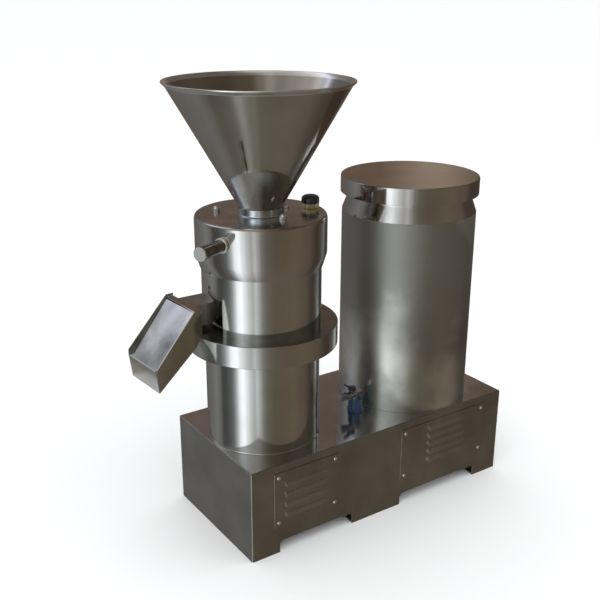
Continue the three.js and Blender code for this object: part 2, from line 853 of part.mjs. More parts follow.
// Stator carrier: slides in the chamber without turning and holds the stator ring
function statorCarrier() {
  const inside = carrierRadius - carrierWall;
  const webZ = carrierBottomZ + carrierWeb;
  const throatOutside = carrierThroat + throatWall;
  const profile = [
    [carrierThroat, carrierBottomZ], [carrierRadius, carrierBottomZ], [carrierRadius, carrierTopZ],
    [inside, carrierTopZ], [inside, webZ], [throatOutside, webZ], [throatOutside, carrierTopZ],
    [carrierThroat, carrierTopZ],
  ];
  return turned(headX, 0, profile, roundLarge);
}

function statorRing() {
  const profile = [
    [statorLowerBore, statorBottomZ], [statorRadius, statorBottomZ], [statorRadius, statorTopZ],
    [statorUpperBore, statorTopZ],
  ];
  return turned(headX, 0, profile, roundLarge);
}

// Spindle with the rotor, the feed auger and its pulley
const noseTopZ = statorTopZ + spindleNoseLength;
const noseBore = spindleNoseRadius + seatGap;

function spindle() {
  const tailZ = deckZ - bearingShoulder;
  const profile = [
    [0, pulleyBottomZ - spindleTailEnd], [spindleTailRadius, pulleyBottomZ - spindleTailEnd],
    [spindleTailRadius, tailZ], [spindleRadius, tailZ], [spindleRadius, rotorBottomZ],
    [spindleNoseRadius, rotorBottomZ], [spindleNoseRadius, noseTopZ], [0, noseTopZ],
  ];
  return turned(headX, 0, profile, roundLarge);
}

function grindingRotor() {
  const hubRadius = spindleRadius + rotorHubWall;
  const profile = [
    [noseBore, rotorBottomZ], [hubRadius, rotorBottomZ], [rotorBaseRadius, statorBottomZ],
    [rotorTopRadius, statorTopZ], [noseBore, statorTopZ],
  ];
  let rotor = turned(headX, 0, profile, roundLarge);
  const vane = block(
    spindleRadius + vaneWidth / 2, chamberBore - vaneWallGap, -vaneWidth / 2, vaneWidth / 2,
    rotorBottomZ, statorBottomZ - vaneTopGap,
  );
  for (let i = 0; i < vaneCount; i += 1) {
    rotor = rotor.add(turnedAbout(vane, headX, 360 * (i + 0.5) / vaneCount));
  }
  const outside = rotorBaseRadius + slotDepth;
  const slotOutline = [
    [rotorTopRadius - slotDepth, statorTopZ + past], [rotorBaseRadius - slotDepth, statorBottomZ],
    [outside, statorBottomZ], [outside, statorTopZ + past],
  ];
  const slot = slab(slotOutline, -slotWidth / 2, slotWidth / 2);
  for (let i = 0; i < slotCount; i += 1) {
    rotor = rotor.subtract(turnedAbout(slot, headX, 360 * i / slotCount));
  }
  return rotor;
}

function feedAuger() {
  const bottom = statorTopZ + seatGap;
  const top = bottom + augerHeight;
  const cone = [[0, bottom], [augerBaseRadius, bottom], [augerTipRadius, top], [0, top]];
  const reach = carrierThroat - augerBladeGap;
  const bladeOutline = [[past, bottom], [reach, bottom], [augerTipRadius, top], [past, top]];
  const blade = slab(bladeOutline, -augerBladeWidth / 2, augerBladeWidth / 2);
  const nose = rod(headX, 0, noseBore, bottom - past, noseTopZ + seatGap, roundMedium);
  const auger = turned(headX, 0, cone, roundMedium);
  return auger.add(turnedAbout(blade, headX, 0)).add(turnedAbout(blade, headX, 180)).subtract(nose);
}

function beltLevels() {
  const levels = [];
  for (let i = 0; i < beltCount; i += 1) {
    levels.push((pulleyBottomZ + pulleyTopZ) / 2 + (i - (beltCount - 1) / 2) * beltPitch);
  }
  return levels;
}

// A pulley with one V groove for each belt
function pulley(x, bore, radius) {
  const wide = beltWidth / 2 + beltFlankGap;
  const narrow = wide - beltTaper;
  const floor = radius - beltDepth - beltFloorGap;
  const points = [[bore, pulleyBottomZ], [radius, pulleyBottomZ]];
  for (const z of beltLevels()) {
    points.push([radius, z - wide], [floor, z - narrow], [floor, z + narrow], [radius, z + wide]);
  }
  points.push([radius, pulleyTopZ], [bore, pulleyTopZ]);
  return turned(x, 0, points, roundLarge);
}

// The outline of a belt laid round both pulleys, drawn in by an inset
function beltOutline(inset) {
  const near = spindlePulleyRadius - inset;
  const far = motorPulleyRadius - inset;
  const tilt = Math.acos((far - near) / (motorX - headX));
  const points = [];
  for (let i = 0; i <= beltSteps; i += 1) {
    const angle = (Math.PI - tilt) * (2 * i / beltSteps - 1);
    points.push([motorX + far * Math.cos(angle), far * Math.sin(angle)]);
  }
  for (let i = 0; i <= beltSteps; i += 1) {
    const angle = Math.PI - tilt + 2 * tilt * i / beltSteps;
    points.push([headX + near * Math.cos(angle), near * Math.sin(angle)]);
  }
  return points;
}

// A V belt: a flat loop whose upper and lower sides are cut to the taper of the groove
function vBelt(level) {
  const half = beltWidth / 2;
  const core = prism(beltOutline(beltDepth), level - half - past, level + half + past);
  const flank = {
    depth: past, bevelThickness: beltTaper, bevelSize: beltDepth + bearingGap, bevelSegments: 1,
  };
  let belt = prism(beltOutline(0), level - half, level + half).subtract(core);
  for (const z of [level + half, level - half - past]) {
    const cutter = new THREE.ExtrudeGeometry(outlined(beltOutline(beltDepth)), flank);
    cutter.translate(0, 0, z);
    belt = belt.subtract(solid(cutter));
  }
  return belt;
}

function addDrive() {
  piece('stator_carrier', statorCarrier(), 'steel');
  piece('stator_ring', statorRing(), 'steel');
  piece('spindle', spindle(), 'steel');
  piece('grinding_rotor', grindingRotor(), 'steel');
  piece('feed_auger', feedAuger(), 'steel');
  piece('spindle_pulley', pulley(headX, spindleTailRadius + seatGap, spindlePulleyRadius), 'cast');
  piece('motor_pulley', pulley(motorX, motorTailRadius + seatGap, motorPulleyRadius), 'cast');
  beltLevels().forEach((level, i) => piece(`v_belt_${i + 1}`, vBelt(level), 'rubber'));
}

// Hopper: a sheet funnel with a flared rim, dropped into the collar of the cover
function hopper() {
  const seatRadius = collarRadius - hopperSeatInset;
  const coneTop = [seatRadius + hopperConeSpread, collarTopZ + hopperConeHeight];
  const slant = Math.hypot(hopperConeSpread, hopperConeHeight);
  const [inX, inZ] = [hopperSheet * hopperConeHeight / slant, hopperSheet * hopperConeSpread / slant];
  const ledgeRadius = seatRadius - inX + (hopperSheet - inZ) * hopperConeSpread / hopperConeHeight;
  const neckInside = hopperNeckRadius - hopperSheet;
  const neckBottom = collarTopZ - hopperNeckLength;
  const rim = [coneTop[0] + hopperRimFlare, coneTop[1] + hopperRimHeight];
  const profile = [
    [neckInside, neckBottom], [hopperNeckRadius, neckBottom], [hopperNeckRadius, collarTopZ],
    [seatRadius, collarTopZ], coneTop, rim, [rim[0], rim[1] + hopperRimEdge],
    [rim[0] - hopperRimEdge, rim[1] + hopperRimEdge], [coneTop[0] - inX, coneTop[1] + inZ],
    [ledgeRadius, collarTopZ + hopperSheet], [neckInside, collarTopZ + hopperSheet],
  ];
  return turned(headX, 0, profile, roundLarge);
}

// Motor: flange mounted, shaft down, with its own fan and cowl
const motorBoltTopZ = deckZ + motorFlangeThickness;
const frameBottomZ = motorBoltTopZ + motorShieldHeight;
const frameTopZ = frameBottomZ + motorFrameHeight;
const upperShieldTopZ = frameTopZ + motorUpperShieldSheet + motorUpperBossHeight;
const shieldRadius = motorBoltCircle - motorBoltHeadRadius - motorShieldGap;
const coreBottomZ = frameBottomZ + statorCoreRise;
const coreBore = motorFrameBore - seatGap - statorCoreWall;
const fanBottomZ = upperShieldTopZ + fanGap;

function motorFlange() {
  const seat = motorLowerBearingRadius + seatGap;
  const bore = motorLowerBearingRadius - motorBearingShoulder;
  const bossTop = frameBottomZ - seatGap;
  const seatZ = bossTop - motorBearingWidth;
  const floorZ = seatZ - motorBearingShoulder;
  const inside = shieldRadius - motorShieldWall;
  const boss = seat + motorBearingBoss;
  const spigotZ = deckZ - motorSpigotDepth;
  const profile = [
    [bore, spigotZ], [motorSpigotRadius, spigotZ], [motorSpigotRadius, deckZ],
    [motorFlangeRadius, deckZ], [motorFlangeRadius, motorBoltTopZ], [shieldRadius, motorBoltTopZ],
    [shieldRadius, frameBottomZ], [inside, frameBottomZ], [inside, floorZ], [boss, floorZ],
    [boss, bossTop], [seat, bossTop], [seat, seatZ], [bore, seatZ],
  ];
  return drilledForBolts(turned(motorX, 0, profile, roundLarge), deckZ, motorBoltTopZ);
}

function motorFrame() {
  const outline = [];
  for (let i = 0; i < motorFinCount; i += 1) {
    const middle = radians(360 * (i + 0.5) / motorFinCount);
    for (const [rise, side] of [[0, -1], [motorFinHeight, -1], [motorFinHeight, 1], [0, 1]]) {
      const reach = motorFrameRadius + rise;
      const angle = middle + side * Math.asin(motorFinWidth / 2 / reach);
      outline.push([motorX + reach * Math.cos(angle), reach * Math.sin(angle)]);
    }
  }
  const bore = rod(motorX, 0, motorFrameBore, frameBottomZ - past, frameTopZ + past, roundLarge);
  return prism(outline, frameBottomZ, frameTopZ).subtract(bore);
}

function motorStator() {
  const outer = motorFrameBore - seatGap;
  const windingInner = coreBore + motorAirGap;
  const windingOuter = windingInner + windingWall;
  const top = coreBottomZ + statorCoreHeight;
  const profile = [
    [windingInner, coreBottomZ - windingHeight], [windingOuter, coreBottomZ - windingHeight],
    [windingOuter, coreBottomZ], [outer, coreBottomZ], [outer, top], [windingOuter, top],
    [windingOuter, top + windingHeight], [windingInner, top + windingHeight], [windingInner, top],
    [coreBore, top], [coreBore, coreBottomZ], [windingInner, coreBottomZ],
  ];
  return turned(motorX, 0, profile, roundLarge);
}

function motorRotor() {
  const core = coreBore - motorAirGap;
  const coreLow = frameBottomZ + rotorCoreMargin;
  const coreHigh = frameTopZ - rotorCoreMargin;
  const shaftBottom = pulleyBottomZ - motorShaftEnd;
  const fanEnd = fanBottomZ + fanHubHeight;
  const profile = [
    [0, shaftBottom], [motorTailRadius, shaftBottom], [motorTailRadius, plateBottomZ],
    [motorJournalRadius, plateBottomZ], [motorJournalRadius, coreLow], [core, coreLow], [core, coreHigh],
    [motorUpperJournalRadius, coreHigh], [motorUpperJournalRadius, fanEnd], [0, fanEnd],
  ];
  return turned(motorX, 0, profile, roundLarge);
}

function motorUpperShield() {
  const seat = motorUpperBearingRadius + seatGap;
  const bore = motorUpperBearingRadius - motorBearingShoulder;
  const plateZ = frameTopZ + motorUpperShieldSheet;
  const seatZ = upperShieldTopZ - motorBearingWidth;
  const profile = [
    [bore, frameTopZ], [motorFrameRadius, frameTopZ], [motorFrameRadius, plateZ],
    [seat + motorBearingBoss, plateZ], [seat + motorBearingBoss, upperShieldTopZ],
    [seat, upperShieldTopZ], [seat, seatZ], [bore, seatZ],
  ];
  return turned(motorX, 0, profile, roundLarge);
}

function motorBearing(journal, outer, top) {
  const bore = (journal + bearingGap) * chordFactor(roundLarge);
  return tube(motorX, 0, bore, outer, top - motorBearingWidth, top, roundLarge);
}

function motorFan() {
  const bore = motorUpperJournalRadius + seatGap;
  const blade = block(
    fanHubRadius - fanBladeRoot, fanBladeReach, -fanBladeWidth / 2, fanBladeWidth / 2,
    fanBottomZ, fanBottomZ + fanBladeHeight,
  );
  let fan = tube(motorX, 0, bore, fanHubRadius, fanBottomZ, fanBottomZ + fanHubHeight, roundMedium);
  for (let i = 0; i < fanBladeCount; i += 1) {
    fan = fan.add(turnedAbout(blade, motorX, 360 * i / fanBladeCount));
  }
  return fan;
}

function fanCowl() {
  const outer = motorFrameRadius + cowlGap + cowlSheet;
  const top = frameTopZ + cowlHeight;
  const profile = [
    [outer - cowlSheet, frameTopZ], [outer, frameTopZ], [outer, top], [cowlVentRadius, top],
    [cowlVentRadius, top - cowlSheet], [outer - cowlSheet, top - cowlSheet],
  ];
  return turned(motorX, 0, profile, roundLarge);
}

function motorBolt(x, y) {
  const head = prism(hexagon(x, y, motorBoltHeadRadius), motorBoltTopZ, motorBoltTopZ + motorBoltHeadHeight);
  return head.add(rod(x, y, motorBoltRadius, plateBottomZ - motorBoltEnd, motorBoltTopZ + past, roundScrew));
}

function addMotor() {
  const lowerBearingTop = frameBottomZ - seatGap;
  const lowerBearing = motorBearing(motorJournalRadius, motorLowerBearingRadius, lowerBearingTop);
  const upperBearing = motorBearing(motorUpperJournalRadius, motorUpperBearingRadius, upperShieldTopZ);
  piece('motor_flange', motorFlange(), 'cast');
  piece('motor_frame', motorFrame(), 'cast');
  piece('motor_stator', motorStator(), 'winding');
  piece('motor_rotor', motorRotor(), 'steel');
  piece('motor_upper_shield', motorUpperShield(), 'cast');
  piece('motor_lower_bearing', lowerBearing, 'steel');
  piece('motor_upper_bearing', upperBearing, 'steel');
  piece('motor_fan', motorFan(), 'black');
  piece('motor_fan_cowl', fanCowl(), 'cast');
  motorBoltPlaces().forEach(([x, y], i) => piece(`motor_bolt_${i + 1}`, motorBolt(x, y), 'steel'));
}

// Round cover over the motor, open at the top under a lift-off cap
const coverWallTopZ = deckZ + motorCoverHeight;
const shoulderTopZ = coverWallTopZ + shoulderHeight;
const capSeatZ = shoulderTopZ + capSeatRise;
const capNeckTopZ = capSeatZ + capNeckHeight;
const capNeckRadius = motorCoverRadius - capSeatInset;

function motorCover() {
  const sheet = motorCoverSheet;
  const shoulder = motorCoverRadius - shoulderInset;
  const profile = [
    [motorCoverRadius - sheet, deckZ], [motorCoverRadius, deckZ], [motorCoverRadius, coverWallTopZ],
    [shoulder, shoulderTopZ], [capNeckRadius, capSeatZ], [capNeckRadius, capNeckTopZ],
    [capNeckRadius - sheet, capNeckTopZ], [capNeckRadius - sheet, capSeatZ],
    [shoulder - sheet, shoulderTopZ], [motorCoverRadius - sheet, coverWallTopZ],
  ];
  return turned(motorX, 0, profile, roundLarge);
}

function motorCap() {
  const radius = motorCoverRadius + capOverhang;
  const bottom = capNeckTopZ - capSkirt;
  const top = capNeckTopZ + capSheet;
  const spigot = capNeckRadius - motorCoverSheet - capSpigotGap;
  const profile = [
    [0, capNeckTopZ], [spigot - capSheet, capNeckTopZ], [spigot - capSheet, capNeckTopZ - capSpigotDepth],
    [spigot, capNeckTopZ - capSpigotDepth], [spigot, capNeckTopZ], [radius - capSheet, capNeckTopZ],
    [radius - capSheet, bottom], [radius, bottom], [radius, top - capEdgeBevel],
    [radius - capEdgeBevel, top], [0, top],
  ];
  return turned(motorX, 0, profile, roundLarge);
}

function addMotorCover() {
  piece('motor_cover', motorCover(), 'polished');
  piece('motor_cap', motorCap(), 'polished');
}

// Cooling water valve in the room between the two drums, nearer to the motor cover
const roomLeft = headX + Math.sqrt(housingRadius ** 2 - valveY ** 2);
const roomRight = motorX - Math.sqrt(motorCoverRadius ** 2 - valveY ** 2);
const valveSpan = valveLength / 2 + valveUnionShift + valveFootRadius;
const valveClearance = (roomRight - roomLeft - valveSpan) * valveRoomShare;
const valveX = roomRight - valveClearance - valveFootRadius - valveUnionShift;
const valveAxisZ = deckZ + valveAxisRise;
const valveUnionX = valveX + valveUnionShift;
const valveUnionTopZ = deckZ + valveUnionHeight;
const valveStemX = valveX + valveStemShift;
const valveStemTopZ = valveAxisZ + valveRadius + valveStemHeight;

function valveUnion() {
  const footTopZ = deckZ + valveFootHeight;
  const foot = prism(hexagon(valveUnionX, valveY, valveFootRadius), deckZ, footTopZ);
  const barrel = rod(valveUnionX, valveY, valveUnionRadius, footTopZ - past, valveUnionTopZ, roundSmall);
  const neckBore = valveNeckRadius + seatGap;
  const bore = rod(valveUnionX, valveY, neckBore, footTopZ, valveUnionTopZ + past, roundSmall);
  return foot.add(barrel).subtract(bore);
}

function valveBody() {
  const place = [valveX - valveLength / 2, valveY, valveAxisZ];
  let body = levelRound(place, 0, rodProfile(valveRadius, 0, valveLength), roundSmall);
  for (const start of [0, valveLength - valveHexLength]) {
    const end = rodProfile(valveHexRadius, start, start + valveHexLength);
    body = body.add(levelRound(place, 0, end, hexSides));
  }
  const neckZ = valveUnionTopZ - valveNeckDepth;
  body = body.add(rod(valveUnionX, valveY, valveNeckRadius, neckZ, valveAxisZ, roundSmall));
  return body.add(rod(valveStemX, valveY, valveStemRadius, valveAxisZ, valveStemTopZ, roundSmall));
}

function valveLever() {
  const bottom = valveStemTopZ + seatGap;
  const hubTop = bottom + valveHubHeight;
  const tipX = valveStemX - valveLeverReach;
  const tipZ = bottom + valveLeverRise;
  const wedge = [[valveStemX, bottom], [valveStemX, hubTop], [tipX, tipZ + valveLeverTip], [tipX, tipZ]];
  const arm = slab(wedge, valveY - valveLeverWidth / 2, valveY + valveLeverWidth / 2);
  return rod(valveStemX, valveY, valveHubRadius, bottom, hubTop, roundSmall).add(arm);
}

function addValve() {
  piece('valve_union', valveUnion(), 'blue');
  piece('valve_body', valveBody(), 'steel');
  piece('valve_lever', valveLever(), 'black');
}

addBase();
addHead();
addDrum();
addDrive();
piece('hopper', hopper(), 'polished');
addMotor();
addMotorCover();
addValve();

// The origin is the middle of the whole length, at the height of the feet
const extent = new THREE.Box3().setFromObject(machine);
machine.position.x = -(extent.min.x + extent.max.x) / 2;

export default machine;
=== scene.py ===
"""Looks of a belt driven vertical peanut grinder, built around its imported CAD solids."""

import logging
import math
from collections.abc import Callable
from dataclasses import dataclass, field
from enum import Enum

import bmesh
import bpy
from mathutils import Matrix, Vector

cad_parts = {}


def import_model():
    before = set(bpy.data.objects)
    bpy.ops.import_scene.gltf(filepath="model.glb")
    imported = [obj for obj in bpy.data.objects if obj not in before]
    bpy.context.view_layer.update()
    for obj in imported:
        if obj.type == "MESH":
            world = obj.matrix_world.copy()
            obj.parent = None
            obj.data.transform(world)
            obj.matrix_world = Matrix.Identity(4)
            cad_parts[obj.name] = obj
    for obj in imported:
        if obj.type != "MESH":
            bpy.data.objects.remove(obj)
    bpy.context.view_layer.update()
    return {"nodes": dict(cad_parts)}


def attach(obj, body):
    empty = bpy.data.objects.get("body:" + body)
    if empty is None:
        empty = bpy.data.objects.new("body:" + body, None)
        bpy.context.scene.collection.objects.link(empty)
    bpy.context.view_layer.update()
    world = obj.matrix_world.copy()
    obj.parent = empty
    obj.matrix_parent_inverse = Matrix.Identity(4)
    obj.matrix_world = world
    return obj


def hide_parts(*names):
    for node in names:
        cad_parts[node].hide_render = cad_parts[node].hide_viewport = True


Pair = tuple[float, float]
Place = tuple[float, float, float]
Outline = tuple[Pair, ...]
Socket = bpy.types.NodeSocket
Shape = bmesh.types.BMesh
Piece = bpy.types.Object
Face = bpy.types.MeshPolygon

LOG = logging.getLogger("grinder")
MM = 0.001
FUNNEL_SIDES = 160
FINE_SIDES = 128
MEDIUM_SIDES = 64
SMALL_SIDES = 32
SCREW_SIDES = 24
HEX_SIDES = 6
FULL_TURN = 2 * math.pi
MERGE_DISTANCE = 2e-6
SHARP_ANGLE = math.radians(28)
FLAT_ANGLE = math.radians(1)
FACING_UP = 0.9
OVERCUT = 5

HEAD_X = -146.175
MOTOR_X = 235.825
DECK_Z = 202.0

EVEN = (1, 1, 1)
PATTERN_SPAN = (0.3, 0.7)
CLOUD_DETAIL = 4
MARK_STRETCH = (1, 1, 0.6)
MARKS_IN_CLOUD = 4
MARK_DETAIL = 5
GRAIN_DETAIL = 3
WAVE_STRETCH = (1, 1, 0.45)
WAVE_SCALE = 11
COAT_CLOUD = 25
COAT_CLOUD_DETAIL = 3
COAT_TEXTURE_DETAIL = 2
COAT_BUMP = 0.3
COAT_GLOSS = 0.12
SHADING_WEIGHT = 60
MIX_LOWER, MIX_HIGHER, MIX_RESULT = 6, 7, 2


class Slot(Enum):
    """The record's material slots, one named for each dressed piece."""

    POLISHED = "polished_steel"
    SHEET = "base_sheet"
    MACHINED = "machined_steel"
    BRASS = "brass"
    BLACK = "black_plastic"
    BLUE = "blue_paint"


class Operation(Enum):
    """What one object does to another."""

    CUT = "DIFFERENCE"
    WELD = "UNION"


class Wiring:
    """A node tree, with short ways to add and link its nodes."""

    def __init__(self, tree: bpy.types.NodeTree) -> None:
        """Empties the tree."""
        self.tree = tree
        tree.nodes.clear()

    def add(self, kind: str) -> bpy.types.Node:
        """Adds a node of a kind."""
        return self.tree.nodes.new(kind)

    def link(self, source: Socket, target: Socket) -> None:
        """Links two sockets."""
        self.tree.links.new(source, target)

    def plain(self, tone: Place) -> Socket:
        """Adds one plain tone.

        Args:
            tone: The tone.

        Returns:
            The socket that carries it.
        """
        node = self.add("ShaderNodeRGB")
        node.outputs["Color"].default_value = (*tone, 1)
        return node.outputs["Color"]

    def ranged(self, source: Socket, span: Pair, low: float = 0, high: float = 1) -> bpy.types.Node:
        """Maps a span of values to a range.

        Args:
            source: The value.
            span: The values that give the range's ends.
            low: The range's start.
            high: The range's end.

        Returns:
            The node, whose Result is the mapped value.
        """
        node = self.add("ShaderNodeMapRange")
        ends = (("From Min", span[0]), ("From Max", span[1]), ("To Min", low), ("To Max", high))
        for name, value in ends:
            node.inputs[name].default_value = value
        self.link(source, node.inputs["Value"])
        return node

    def ramp(self, source: Socket, stops: list[tuple[float, Place]], mode: str = "LINEAR") -> Socket:
        """Colours a value by a row of tones.

        Args:
            source: The value.
            stops: The position and the tone of each stop.
            mode: Blender's word for how the tones run together.

        Returns:
            The socket that carries the colour.
        """
        node = self.add("ShaderNodeValToRGB")
        node.color_ramp.interpolation = mode
        elements = node.color_ramp.elements
        while len(elements) < len(stops):
            elements.new(1)
        for element, (position, tone) in zip(elements, stops):
            element.position = position
            element.color = (*tone, 1)
        self.link(source, node.inputs["Fac"])
        return node.outputs["Color"]


class NodeBoard(Wiring):
    """The shader nodes of one material."""

    def __init__(self, title: str) -> None:
        """Starts a material with its shader and its coordinates.

        Args:
            title: The material's name.
        """
        self.material = bpy.data.materials.new(title)
        self.material.use_nodes = True
        super().__init__(self.material.node_tree)
        output = self.add("ShaderNodeOutputMaterial")
        self.shader = self.add("ShaderNodeBsdfPrincipled")
        self.link(self.shader.outputs["BSDF"], output.inputs["Surface"])
        self.coordinates = self.add("ShaderNodeTexCoord")

    def noise(self, stretch: Place, scale: float, detail: float) -> Socket:
        """Adds a noise pattern on Object coordinates.

        Args:
            stretch: How dense the pattern is along each axis.
            scale: The pattern's own scale.
            detail: How many octaves it has.

        Returns:
            The socket that carries the pattern.
        """
        mapping = self.add("ShaderNodeMapping")
        mapping.inputs["Scale"].default_value = stretch
        self.link(self.coordinates.outputs["Object"], mapping.inputs["Vector"])
        pattern = self.add("ShaderNodeTexNoise")
        pattern.inputs["Scale"].default_value = scale
        pattern.inputs["Detail"].default_value = detail
        self.link(mapping.outputs["Vector"], pattern.inputs["Vector"])
        return pattern.outputs["Fac"]

    def spread(self, source: Socket, low: float, high: float) -> Socket:
        """Maps the middle of a pattern to a range, and returns its socket."""
        return self.ranged(source, PATTERN_SPAN, low, high).outputs["Result"]

    def tones(self, source: Socket, low: Place, high: Place) -> Socket:
        """Colours a pattern between two tones, and returns its socket."""
        return self.ramp(source, list(zip(PATTERN_SPAN, (low, high))))

    def hazed(self, source: Socket, low: float, high: float, amount: float) -> Socket:
        """Adds to a pattern with height.

        Args:
            source: The pattern.
            low: The level in metres where the addition starts.
            high: The level where it's full.
            amount: The full addition.

        Returns:
            The socket that carries the sum.
        """
        place = self.add("ShaderNodeSeparateXYZ")
        self.link(self.coordinates.outputs["Object"], place.inputs["Vector"])
        rise = self.ranged(place.outputs["Z"], (low, high), 0, amount)
        total = self.add("ShaderNodeMath")
        self.link(source, total.inputs[0])
        self.link(rise.outputs["Result"], total.inputs[1])
        return total.outputs["Value"]

    def bump(self, source: Socket, strength: float, depth: float) -> None:
        """Lets a pattern raise the surface a little, on top of the patterns before it.

        Args:
            source: The pattern.
            strength: The share of the bump that is used.
            depth: The bump's depth in metres.
        """
        node = self.add("ShaderNodeBump")
        node.inputs["Strength"].default_value = strength
        node.inputs["Distance"].default_value = depth
        self.link(source, node.inputs["Height"])
        before = self.shader.inputs["Normal"].links
        if before:
            self.link(before[0].from_socket, node.inputs["Normal"])
        self.join(node.outputs["Normal"], "Normal")

    def join(self, source: Socket, name: str) -> None:
        """Links a pattern to one of the shader's sockets."""
        self.link(source, self.shader.inputs[name])


@dataclass(frozen=True)
class MetalFinish:
    """A bare metal with grinding lines, cloudy tone and handling marks.

    haze dulls it, and its height shift paints light and shade into the tone: from a level, up to a level,
    by an amount.
    """

    title: str
    tone: Place
    shade: Place
    roughness: Pair
    grain: Place
    grain_strength: float = 0.05
    grain_depth: float = 0.00003
    cloud: float = 7.0
    wave_depth: float = 0.0
    haze: Place = (0.0, 0.0, 0.0)
    painted_light_by_height: Place = (0.0, 0.0, 0.0)

    def build(self) -> bpy.types.Material:
        """Makes the material."""
        board = NodeBoard(self.title)
        cloud = board.noise(EVEN, self.cloud, CLOUD_DETAIL)
        # Painted light and shade: the tone moves with height.
        if any(self.painted_light_by_height):
            cloud = board.hazed(cloud, *self.painted_light_by_height)
        marks = board.noise(MARK_STRETCH, self.cloud * MARKS_IN_CLOUD, MARK_DETAIL)
        grain = board.noise(self.grain, 1, GRAIN_DETAIL)
        board.join(board.tones(cloud, self.shade, self.tone), "Base Color")
        gloss = board.spread(marks, *self.roughness)
        if any(self.haze):
            gloss = board.hazed(gloss, *self.haze)
        board.join(gloss, "Roughness")
        if self.wave_depth:
            board.bump(board.noise(WAVE_STRETCH, WAVE_SCALE, 1), 1, self.wave_depth)
        board.bump(grain, self.grain_strength, self.grain_depth)
        board.shader.inputs["Metallic"].default_value = 1
        return board.material


@dataclass(frozen=True)
class CoatFinish:
    """A painted, moulded or rubber surface."""

    title: str
    tone: Place
    shade: Place
    roughness: Pair
    coat: float = 0.0
    texture: float = 300.0
    texture_depth: float = 0.00002

    def build(self) -> bpy.types.Material:
        """Makes the material."""
        board = NodeBoard(self.title)
        cloud = board.noise(EVEN, COAT_CLOUD, COAT_CLOUD_DETAIL)
        fine = board.noise(EVEN, self.texture, COAT_TEXTURE_DETAIL)
        board.join(board.tones(cloud, self.shade, self.tone), "Base Color")
        board.join(board.spread(cloud, *self.roughness), "Roughness")
        board.bump(fine, COAT_BUMP, self.texture_depth)
        board.shader.inputs["Coat Weight"].default_value = self.coat
        board.shader.inputs["Coat Roughness"].default_value = COAT_GLOSS
        return board.material


TURNED_GRAIN = (6.0, 6.0, 900.0)
SHEET_GRAIN = (5.0, 500.0, 500.0)
WOUND_GRAIN = (40, 40, 900)
BROAD_GRAIN = (30, 30, 30)
SOFT_GRAIN = (60, 60, 60)
MILLED_GRAIN = (150, 150, 150)
FINE_GRAIN = (200, 200, 200)

